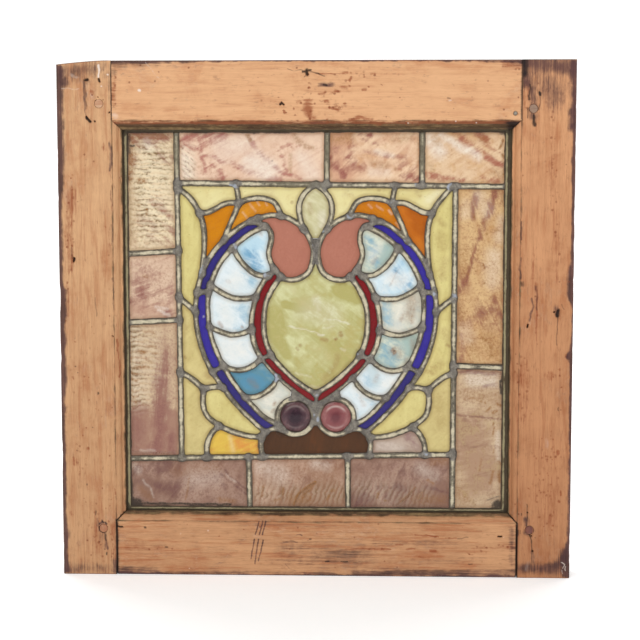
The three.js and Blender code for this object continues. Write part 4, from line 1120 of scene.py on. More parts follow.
# %% Name the batches of glass
FIELD = dict(depth=0.26, gloss=0.3, glow=0.18)
PETAL = dict(sheen=0.2, rim=0.5, glow=0.22)
STREAKY = dict(PETAL, gloss=0.18, grain=0.4, relief=0.9)
STRIP = dict(sheen=0.12, rim=0.3, glow=0.22)
OPAL = dict(rim=0.6, gloss=0.3)
BATCHES = {
    # light, deep, wisp, seed, then what differs in the recipe
    "cream": ((242, 222, 184), (206, 172, 136), (142, 72, 62), 1,
              dict(pour=(-35, 70, 10), blush=0.12, ripple=(0, 5.2, 0.9), rusty=0.5)),
    "cream_rose": ((216, 190, 154), (170, 128, 106), (140, 86, 78), 6,
                   dict(grain=0.75, pour=(85, 60, 9), blush=0.2, ripple=(0, 5.4, 0.75), rusty=0.35)),
    "cream_across": ((244, 214, 186), (222, 178, 150), (168, 92, 84), 4,
                     dict(depth=0.28, pour=(30, 60, 8), blush=0.25, ripple=(-35, 4.6, 0.6), rusty=0.2)),
    "cream_gold": ((238, 208, 170), (208, 160, 120), (166, 90, 72), 5,
                   dict(depth=0.28, pour=(35, 50, 7), blush=0.25, rusty=0.5, third=(226, 184, 128))),
    "tan": ((224, 188, 136), (188, 138, 92), (136, 74, 64), 9,
            dict(grain=0.75, depth=0.28, pour=(-70, 60, 8), blush=0.15, rusty=0.95, third=(210, 164, 104))),
    "blush": ((246, 216, 180), (218, 170, 138), (152, 84, 76), 8,
              dict(depth=0.25, pour=(40, 40, 8), blush=0.35, rusty=0.4, third=(218, 168, 120))),
    "dusk": ((230, 202, 174), (196, 154, 130), (142, 82, 76), 10,
             dict(grain=0.75, pour=(24, 40, 8), rusty=0.3)),
    "sand": ((216, 190, 154), (178, 142, 112), (130, 82, 70), 15,
             dict(grain=0.75, depth=0.25, pour=(10, 40, 8), blush=0.25, rusty=0.7, third=(198, 172, 120))),
    "mauve": ((180, 146, 126), (142, 104, 86), (108, 64, 60), 12,
              dict(grain=0.75, depth=0.25, pour=(60, 34, 10), blush=0.35, ripple=(70, 5, 1), rusty=0.45)),
    "mauve_tan": ((196, 160, 136), (154, 112, 84), (130, 82, 64), 13,
                  dict(grain=0.75, depth=0.25, pour=(70, 30, 9), ripple=(72, 5, 1.1), rusty=0.6)),
    "field_head": ((241, 231, 172), (226, 210, 142), (204, 168, 96), 17,
                   dict(FIELD, pour=(20, 60, 16), blush=0.1, rusty=0.12)),
    "field_side": ((232, 220, 148), (212, 196, 122), (190, 148, 80), 18,
                   dict(FIELD, pour=(80, 60, 12), blush=0.15, rusty=0.25)),
    "field_low": ((226, 210, 144), (204, 184, 118), (188, 150, 84), 19,
                  dict(FIELD, pour=(40, 40, 12), blush=0.12, rusty=0.2)),
    "heart": ((222, 222, 170), (186, 178, 108), (230, 224, 178), 21,
              dict(depth=0.2, pour=(-40, 60, 12), gloss=0.2, glow=0.18, rusty=0.15, third=(196, 180, 112))),
    "amber": ((230, 158, 34), (190, 98, 4), (240, 186, 96), 25,
              dict(STREAKY, pour=(42, 22, 2.2), blush=0.45)),
    "amber_right": ((224, 140, 14), (184, 92, 4), (236, 176, 80), 26,
                    dict(STREAKY, pour=(-42, 22, 2.2), blush=0.35)),
    "orange": ((220, 142, 4), (198, 112, 2), (224, 160, 60), 29,
               dict(PETAL, pour=(30, 30, 6), blush=0.12, grain=0.35)),
    "orange_dark": ((218, 126, 30), (188, 98, 12), (214, 140, 56), 30,
                    dict(PETAL, pour=(-30, 30, 6), blush=0.12, grain=0.35)),
    "salmon": ((182, 117, 96), (162, 94, 74), (200, 144, 124), 33,
               dict(rim=0.5, pour=(70, 20, 6), blush=0.1, gloss=0.6, glow=0.05, grain=0.55)),
    "cobalt": ((66, 54, 168), (46, 36, 126), (84, 76, 184), 37,
               dict(STRIP, pour=(80, 14, 3), blush=0.2, gloss=0.15)),
    "cobalt_dark": ((60, 52, 134), (42, 34, 98), (74, 66, 146), 38,
                    dict(STRIP, pour=(80, 14, 3), blush=0.2, gloss=0.15)),
    "ruby": ((142, 28, 34), (108, 14, 22), (170, 52, 52), 41,
             dict(STRIP, pour=(80, 12, 4), blush=0.15, gloss=0.16)),
    "opal": ((236, 245, 248), (208, 224, 228), (140, 186, 210), 45,
             dict(OPAL, depth=0.28, pour=(-30, 36, 9), blush=0.2, grain=0.2)),
    "opal_sky": ((238, 248, 250), (194, 224, 238), (96, 158, 196), 46,
                 dict(OPAL, depth=0.24, pour=(-40, 30, 9), blush=0.35, grain=0.2)),
    "opal_blue": ((146, 180, 188), (96, 144, 160), (84, 146, 178), 48,
                  dict(OPAL, depth=0.25, pour=(-20, 26, 8))),
    "opal_green": ((228, 230, 210), (170, 192, 184), (120, 172, 196), 49,
                   dict(OPAL, depth=0.24, pour=(-30, 30, 8), blush=0.35, grain=0.25, rusty=0.3)),
    "opal_warm": ((236, 232, 212), (204, 208, 196), (156, 192, 206), 51,
                  dict(OPAL, depth=0.22, pour=(-30, 30, 8), grain=0.25, rusty=0.35)),
    "yellow": ((236, 202, 78), (218, 166, 66), (228, 146, 60), 55,
               dict(pour=(24, 40, 6), blush=0.5, gloss=0.2, glow=0.18)),
    "pink": ((194, 172, 154), (168, 142, 128), (150, 114, 110), 58,
             dict(depth=0.25, pour=(-20, 40, 9), blush=0.2, rusty=0.2)),
    "brown": ((88, 56, 32), (58, 36, 22), (104, 62, 32), 61,
              dict(sheen=0.15, rim=0.4, pour=(80, 50, 5), gloss=0.2)),
    "drop": ((228, 222, 184), (196, 188, 136), (236, 232, 208), 64,
             dict(depth=0.22, pour=(-40, 30, 6), blush=0.35, rusty=0.15)),
}
GLASS = {name: glass_finish(f"{name}_glass", *colours, **changes)
         for name, (*colours, changes) in BATCHES.items()}
print("batches:", list(GLASS))

# %% Say which pane is which
SINGLES = {
    # name: (a point inside, batch)
    "border_left_upper": ((-164, 390), "cream"),
    "border_left_middle": ((-164, 290), "dusk"),
    "border_left_lower": ((-164, 180), "cream_rose"),
    "border_foot_left": ((-130, 92), "mauve"),
    "border_foot_middle": ((-16, 92), "mauve_tan"),
    "border_foot_right": ((85, 92), "mauve"),
    "border_right_lower": ((165, 140), "sand"),
    "border_right_upper": ((165, 300), "tan"),
    "border_head_right": ((148, 420), "cream_gold"),
    "border_head_middle": ((58, 420), "blush"),
    "border_head_left": ((-60, 420), "cream_across"),
    "drop": ((0, 365), "drop"),
    "heart": ((0, 250), "heart"),
    "base": ((0, 132), "brown"),
    "foot_left": ((-80, 130), "yellow"),
    "foot_right": ((80, 130), "pink"),
}
PAIRS = {
    # name: (a point in the right one, batch on the left, batch on the right)
    "field_corner": ((105, 380), "field_head", "field_head"),
    "field_head": ((30, 375), "field_head", "field_head"),
    "field_lens": ((125, 330), "field_side", "field_side"),
    "field_side": ((126, 235), "field_low", "field_side"),
    "field_leaf": ((90, 165), "field_side", "field_side"),
    "field_low": ((124, 160), "field_low", "field_low"),
    "petal": ((58, 369), "amber", "amber_right"),
    "horn": ((100, 352), "orange", "orange_dark"),
    "comma": ((25, 325), "salmon", "salmon"),
    "cobalt_upper": ((99.5, 317), "cobalt_dark", "cobalt"),
    "cobalt_middle": ((113.7, 265), "cobalt", "cobalt"),
    "cobalt_lower": ((78.5, 180), "cobalt_dark", "cobalt_dark"),
    "shell_1": ((58, 325), "opal_sky", "opal_green"),
    "shell_2": ((80, 300), "opal", "opal_sky"),
    "shell_3": ((85, 262), "opal", "opal_warm"),
    "shell_4": ((80, 225), "opal", "opal_green"),
    "shell_5": ((62, 195), "opal_blue", "opal"),
    "shell_6": ((45, 172), "opal_warm", "opal"),
    "ruby_upper": ((57.6, 255), "ruby", "ruby"),
    "ruby_lower": ((30, 199), "ruby", "ruby"),
}
PANES = dict(SINGLES)
for name, ((x, z), left, right) in PAIRS.items():
    PANES[f"{name}_left"] = ((-x, z), left)
    PANES[f"{name}_right"] = ((x, z), right)
print("panes:", len(PANES))

# %% Spread over the lattice
GLASS_PITCH = 1.1
CORNER = (-191.4, 62.7)
LATTICE = (347, 349)


def sort_panes():
    """The lattice squares of each pane, by its name."""
    columns, rows = np.meshgrid(np.arange(LATTICE[0]), np.arange(LATTICE[1]), indexing="ij")
    x = CORNER[0] + (columns.ravel() + 0.5) * GLASS_PITCH
    z = CORNER[1] + (rows.ravel() + 0.5) * GLASS_PITCH
    free = (glass_edge(panel_gaps(x, z)) < 0).reshape(LATTICE)
    squares = {}
    for name, ((seed_x, seed_z), _) in PANES.items():
        start = (int((seed_x - CORNER[0]) / GLASS_PITCH), int((seed_z - CORNER[1]) / GLASS_PITCH))
        if not free[start]:
            raise ValueError(f"{name} does not start in its own glass")
        free[start] = False
        found, edge = [start], [start]
        while edge:
            column, row = edge.pop()
            for step in ((1, 0), (-1, 0), (0, 1), (0, -1)):
                place = (column + step[0], row + step[1])
                if 0 <= place[0] < LATTICE[0] and 0 <= place[1] < LATTICE[1] and free[place]:
                    free[place] = False
                    found.append(place)
                    edge.append(place)
        squares[name] = found
    print("squares:", sum(len(found) for found in squares.values()), "left over:", int(free.sum()))
    return squares


SQUARES = sort_panes()

# %% Cut the panes
GLASS_FRONT = 13.2
GLASS_BACK = 16.0


def make_pane(name, middle, batch):
    own = np.array(SQUARES[name])
    low, high = own.min(0), own.max(0) + 1
    mask = np.zeros(high - low, bool)
    mask[tuple((own - low).T)] = True
    box = (CORNER[0] + low[0] * GLASS_PITCH, CORNER[0] + high[0] * GLASS_PITCH,
           CORNER[1] + low[1] * GLASS_PITCH, CORNER[1] + high[1] * GLASS_PITCH)

    def is_own(x, z):
        column = np.clip(((x - box[0]) / GLASS_PITCH).astype(int), 0, mask.shape[0] - 1)
        row = np.clip(((z - box[2]) / GLASS_PITCH).astype(int), 0, mask.shape[1] - 1)
        return mask[column, row]

    bm = cut_sheet(box, GLASS_PITCH, lambda x, z: glass_edge(panel_gaps(x, z)), is_own)
    front, back_faces = thicken(bm, GLASS_FRONT, GLASS_BACK)
    x, _, z = places(front)
    gaps = panel_gaps(x, z)
    inside = -lead_edge(gaps)
    drift = uneven(x, z, 11, 20.5)
    waves = 0.6 * drift + 0.4 * uneven(x, z, 4.5, 31)
    for vert, lift in zip(front, 0.16 * waves * rise(-inside, -0.5, 2.5)):
        vert.co.y += lift
    marks = {kind: np.zeros(len(front)) for kind in ("deep", "wisp", "pale", "rust", "dirt", "ripple")}
    marks.update(brushed(x, z, STROKES.get(name, {}), drift, middle))
    marks["lead_gap"] = np.maximum(-inside, -1.5)
    bmesh.ops.dissolve_faces(bm, faces=back_faces)
    write_marks(bm, bm.verts[:], {"lead_gap": np.full(len(bm.verts), 6.0)})
    front = [v for v in bm.verts if v.co.y < at_depth((GLASS_FRONT + GLASS_BACK) / 2)]
    write_marks(bm, front, marks)
    node = "cobalt_band_" + name.rsplit("_", 1)[1] if name.startswith("cobalt") else name
    count = len(bm.faces)
    keep_piece(f"pane_{name}", bm, GLASS[batch], [node])
    return count


total = sum(make_pane(name, *settings) for name, settings in PANES.items())
print("pane faces:", total)

# %% [markdown]
# ## Jewels and putty
#
# The two jewels were pressed in a mould, so they are round: one profile of a low dome with a step
# inside its rim, spun about the axis. The putty that holds the panel in from behind was run in with
# a knife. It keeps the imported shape, loosened a little.

# %% Spin the jewels
JEWEL_PROFILE = [
    # radius, depth
    (0, 10.4), (3, 10.45), (6.5, 10.8), (9.2, 11.45), (10.6, 12.0), (11.3, 12.15), (12.2, 11.95),
    (13.3, 12.1), (14.3, 12.55), (15.1, 13.2), (16.9, 13.3), (16.9, 16.0), (0, 16.0),
]


def make_jewel(name, x, z, finish):
    bm = bmesh.new()
    verts = [bm.verts.new((x + radius, at_depth(depth), z)) for radius, depth in JEWEL_PROFILE]
    edges = [bm.edges.new(pair) for pair in zip(verts, verts[1:])]
    bmesh.ops.spin(bm, geom=verts + edges, cent=(x, 0, z), axis=(0, 1, 0), dvec=(0, 0, 0),
                   angle=2 * math.pi, steps=56, use_duplicate=False)
    bmesh.ops.remove_doubles(bm, verts=bm.verts[:], dist=0.01)
    bmesh.ops.recalc_face_normals(bm, faces=bm.faces[:])
    for vert in bm.verts:
        vert.co.y += 0.12 * ruffle(vert.co.x, 0, vert.co.z, 5, 3) * (vert.co.y < at_depth(13.2))
    radius = np.array([math.hypot(v.co.x - x, v.co.z - z) for v in bm.verts])
    back = np.array([v.co.y > at_depth(14) for v in bm.verts])
    height = np.array([v.co.z - z for v in bm.verts])
    # The jewel is lighter towards its rim and darker in the middle, and carries a painted glint: a
    # highlight ring inside the rim, strongest at the top, strong on the rose jewel and faint on the plum
    # one.
    glint = (1 - rise(abs(radius - 10.8), 0.4, 1.6)) * (rise(height, 4, 9) + 0.5 * rise(-height, 6, 10))
    write_marks(bm, bm.verts[:], {
        "lead_gap": np.where(back, 6, 15.4 - radius), "pale": glint * (0.6 if x > 0 else 0.2),
        "wisp": 0.65 * rise(radius, 6, 12), "deep": 0.8 * (1 - rise(radius, 2, 8)),
    })
    print(name, "faces:", len(bm.faces))
    keep_piece(name, bm, finish, [name.replace("pressed_", "")], sharp=50)


PRESSED = dict(rim=0.6, pour=(60, 14, 4), blush=0.3, gloss=0.1, glow=0.3)
PLUM = glass_finish("plum_glass", (80, 54, 62), (50, 28, 40), (124, 90, 92), 71, sheen=0.25, **PRESSED)
ROSE = glass_finish("rose_jewel_glass", (152, 86, 88), (112, 54, 60), (176, 120, 116), 74,
                    sheen=0.3, **PRESSED)
make_jewel("pressed_jewel_left", *JEWEL_CENTRES[0], PLUM)
make_jewel("pressed_jewel_right", *JEWEL_CENTRES[1], ROSE)

# %% Loosen the putty
def putty_finish():
    putty = Finish("old_putty", Specular_IOR_Level=0.2)
    dry = putty.cloud(60, 4, 0.6, 0.3, 2)
    chalk = putty.cloud(500, 3, 0.7, 0, 6)
    tone = putty.over(paint(160, 148, 124), paint(122, 106, 82), (dry * 0.7 + chalk * 0.3).rise(0.35, 0.7))
    cracks = putty.spots(120)
    tone = putty.over(tone, paint(74, 62, 46), cracks.rise(0.55, 0.9) * 0.5)
    return putty.finish(tone, 0.85 + (chalk - 0.5) * 0.1, dry * 0.6 + chalk * 0.4, 0.7, 0.0006)


def copied(node):
    """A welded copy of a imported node, in millimetres."""
    bm = bmesh.new()
    bm.from_mesh(bpy.data.objects[node].data)
    bmesh.ops.scale(bm, vec=(1 / MM, 1 / MM, 1 / MM), verts=bm.verts[:])
    bmesh.ops.remove_doubles(bm, verts=bm.verts[:], dist=0.01)
    return bm


def cut_across(bm, axis, place, geometry):
    """Cuts some of a mesh at one place along an axis and returns what was cut."""
    plane_co, plane_no = Vector((0, 0, 0)), Vector((0, 0, 0))
    plane_co[axis], plane_no[axis] = place, 1
    cut = bmesh.ops.bisect_plane(bm, geom=geometry, dist=0.02, plane_co=plane_co, plane_no=plane_no)
    return cut["geom"]


def make_putty():
    bm = copied("glazing_putty")
    pitch = 9
    for axis in (0, 2):
        along = [v.co[axis] for v in bm.verts]
        for step in range(1, round((max(along) - min(along)) / pitch)):
            cut_across(bm, axis, min(along) + step * pitch, bm.verts[:] + bm.edges[:] + bm.faces[:])
    for vert in bm.verts:
        if at_depth(18.5) < vert.co.y:
            lump = 0.8 * ruffle(*vert.co, 22, 1) + 0.35 * ruffle(*vert.co, 6, 2)
            vert.co.y -= 0.4 + max(lump, -0.4)
    bmesh.ops.triangulate(bm, faces=bm.faces[:])
    print("putty faces:", len(bm.faces))
    keep_piece("run_putty", bm, putty_finish(), ["glazing_putty"])


make_putty()

# %% [markdown]
# ## The sash
#
# Four pieces of softwood, planed and moulded by hand, through-tenoned and pinned. The sash was once
# painted or stained dark, and then stripped, so the old colour survives where a scraper does not
# reach: along the outer arrises, in the quirk of the moulding, in joints, nail holes and cracks.
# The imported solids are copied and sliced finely, so that arrises can be worn, holes sunk and marks
# written. The marks are the same kind of brush strokes as on the glass, measured from one place on
# each member.

# %% Wood finish
STAIN = paint(86, 56, 56)
BLACK = paint(30, 21, 20)
SPOT = paint(146, 78, 46)


def wood_finish(name, upright, light, dark, seed, worn=0.5, shade=0.0):
    """worn: how streaked the wood is. shade: how much darker it is at its foot."""
    wood = Finish(name, Specular_IOR_Level=0.22)

    def grained(across, lengthwise):
        return (across, across * 0.6, lengthwise) if upright else (lengthwise, across * 0.6, across)

    lines = wood.cloud(grained(480, 12), 5, 0.66, 0.5, seed)
    broad = wood.cloud(grained(74, 8), 5, 0.62, 1.5, seed + 2)
    pores = wood.cloud(grained(1400, 130), 2, 0.6, 0.0, seed + 4)
    blotch = wood.cloud(20, 6, 0.66, 0.8, seed + 6)
    mottle = wood.cloud(grained(230, 110), 4, 0.66, 0.5, seed + 9)
    streak = wood.cloud(grained(190, 17), 4, 0.6, 0.8, seed + 12)
    rough_end = wood.cloud(420, 3, 0.65, 0.4, seed + 8)
    fleck = wood.cloud(120, 2, 0.5, 0.0, seed + 14)
    grain = (lines * 0.25 + broad * 0.25 + pores * 0.2 + blotch * 0.3).rise(0.38, 0.62)
    tone = wood.over(paint(*light), paint(*dark), grain * 0.5)
    tone = wood.over(tone, paint(180, 106, 62), (blotch * 0.65 + broad * 0.35).rise(0.49, 0.64) * 0.42)
    tone = wood.over(tone, paint(166, 98, 60), streak.rise(0.51, 0.66) * (0.15 + worn * 0.5))
    tone = wood.over(tone, paint(116, 80, 60), (blotch * 0.6 + lines * 0.4).rise(0.53, 0.68) * worn * 0.6)
    tone = wood.over(tone, paint(236, 202, 166), (mottle * 0.4 + blotch * 0.6).rise(0.53, 0.68) * 0.35)
    tone = wood.over(tone, paint(140, 92, 64), (mottle * 0.75 + pores * 0.25).rise(0.55, 0.7) * 0.5)
    up = wood.node("ShaderNodeSeparateXYZ", {}, {"Vector": wood.place}, output=2)
    tone = wood.over(tone, paint(196, 178, 166), up.rise(0.0, 0.55, shade, 0.0), "MULTIPLY")
    sawn = (rough_end * 0.6 + blotch * 0.4).rise(0.35, 0.65)
    end_tone = wood.over(paint(150, 108, 78), paint(92, 62, 50), sawn)
    tone = wood.over(tone, end_tone, wood.mark("end").rise(0.35, 0.75))
    drift = (lines - 0.5) * 0.9 + (blotch - 0.5) * 0.7 + (mottle - 0.5) * 0.5 + (pores - 0.5) * 0.35

    def marked(kind, low=0.2, high=0.85, waver=1.0):
        mark = wood.mark(kind)
        return (mark + drift * waver * mark.rise(0.0, 0.3)).rise(low, high)

    # Caked dirt in the moulding, partly painted shade in the corner next to the glass.
    caked_dirt_and_shade = wood.over(paint(58, 44, 30), paint(138, 116, 80), (lines * 0.6 + mottle * 0.4).rise(0.46, 0.62))
    tone = wood.over(tone, caked_dirt_and_shade, marked("grime_and_shade", 0.1, 0.85, 1.8) * 0.92)
    tone = wood.over(tone, SPOT, marked("red", 0.1, 0.85, 1.7) * 0.85)
    dust = wood.spots(190)
    dusted = (1 - dust.rise(0.14, 0.36)) * wood.mark("red").rise(0.03, 0.3)
    dusted = dusted * (mottle * 0.5 + fleck * 0.5).rise(0.42, 0.56)
    tone = wood.over(tone, paint(132, 70, 42), dusted * 0.85)
    old = wood.over(STAIN, BLACK, (lines * 0.5 + blotch * 0.5).rise(0.46, 0.6) * 0.55)
    tone = wood.over(tone, old, marked("stain", 0.1, 1.0, 1.4) * 0.9)
    tone = wood.over(tone, old, marked("band", 0.12, 0.9, 1.2) * 0.92)
    tone = wood.over(tone, paint(238, 222, 208), marked("pale", 0.2, 0.9, 0.8) * 0.8)
    tone = wood.over(tone, BLACK, marked("dark", 0.2, 0.95, 0.6) * 0.94)
    freckle = wood.spots(95)
    freckles = (1 - freckle.rise(0.05, 0.14)) * blotch.rise(0.45, 0.6)
    tone = wood.over(tone, paint(120, 62, 38), freckles * 0.75)
    shine = 0.62 + (grain - 0.5) * 0.08 + wood.mark("band") * -0.1
    return wood.finish(tone, shine, lines * 0.4 + pores * 0.35 + mottle * 0.25, 0.5, 0.0005)


WOODS = {
    "left_stile": wood_finish("stile_pine", True, (217, 171, 127), (164, 117, 83), 3, 0.4, 0.35),
    "right_stile": wood_finish("stile_pine_right", True, (214, 158, 114), (156, 104, 70), 14, 0.5, 0.6),
    "top_rail": wood_finish("rail_pine_top", False, (224, 174, 130), (190, 136, 96), 25, 0.15),
    "bottom_rail": wood_finish("rail_pine_bottom", False, (204, 154, 112), (134, 88, 60), 36, 0.9),
}
print("woods:", list(WOODS))

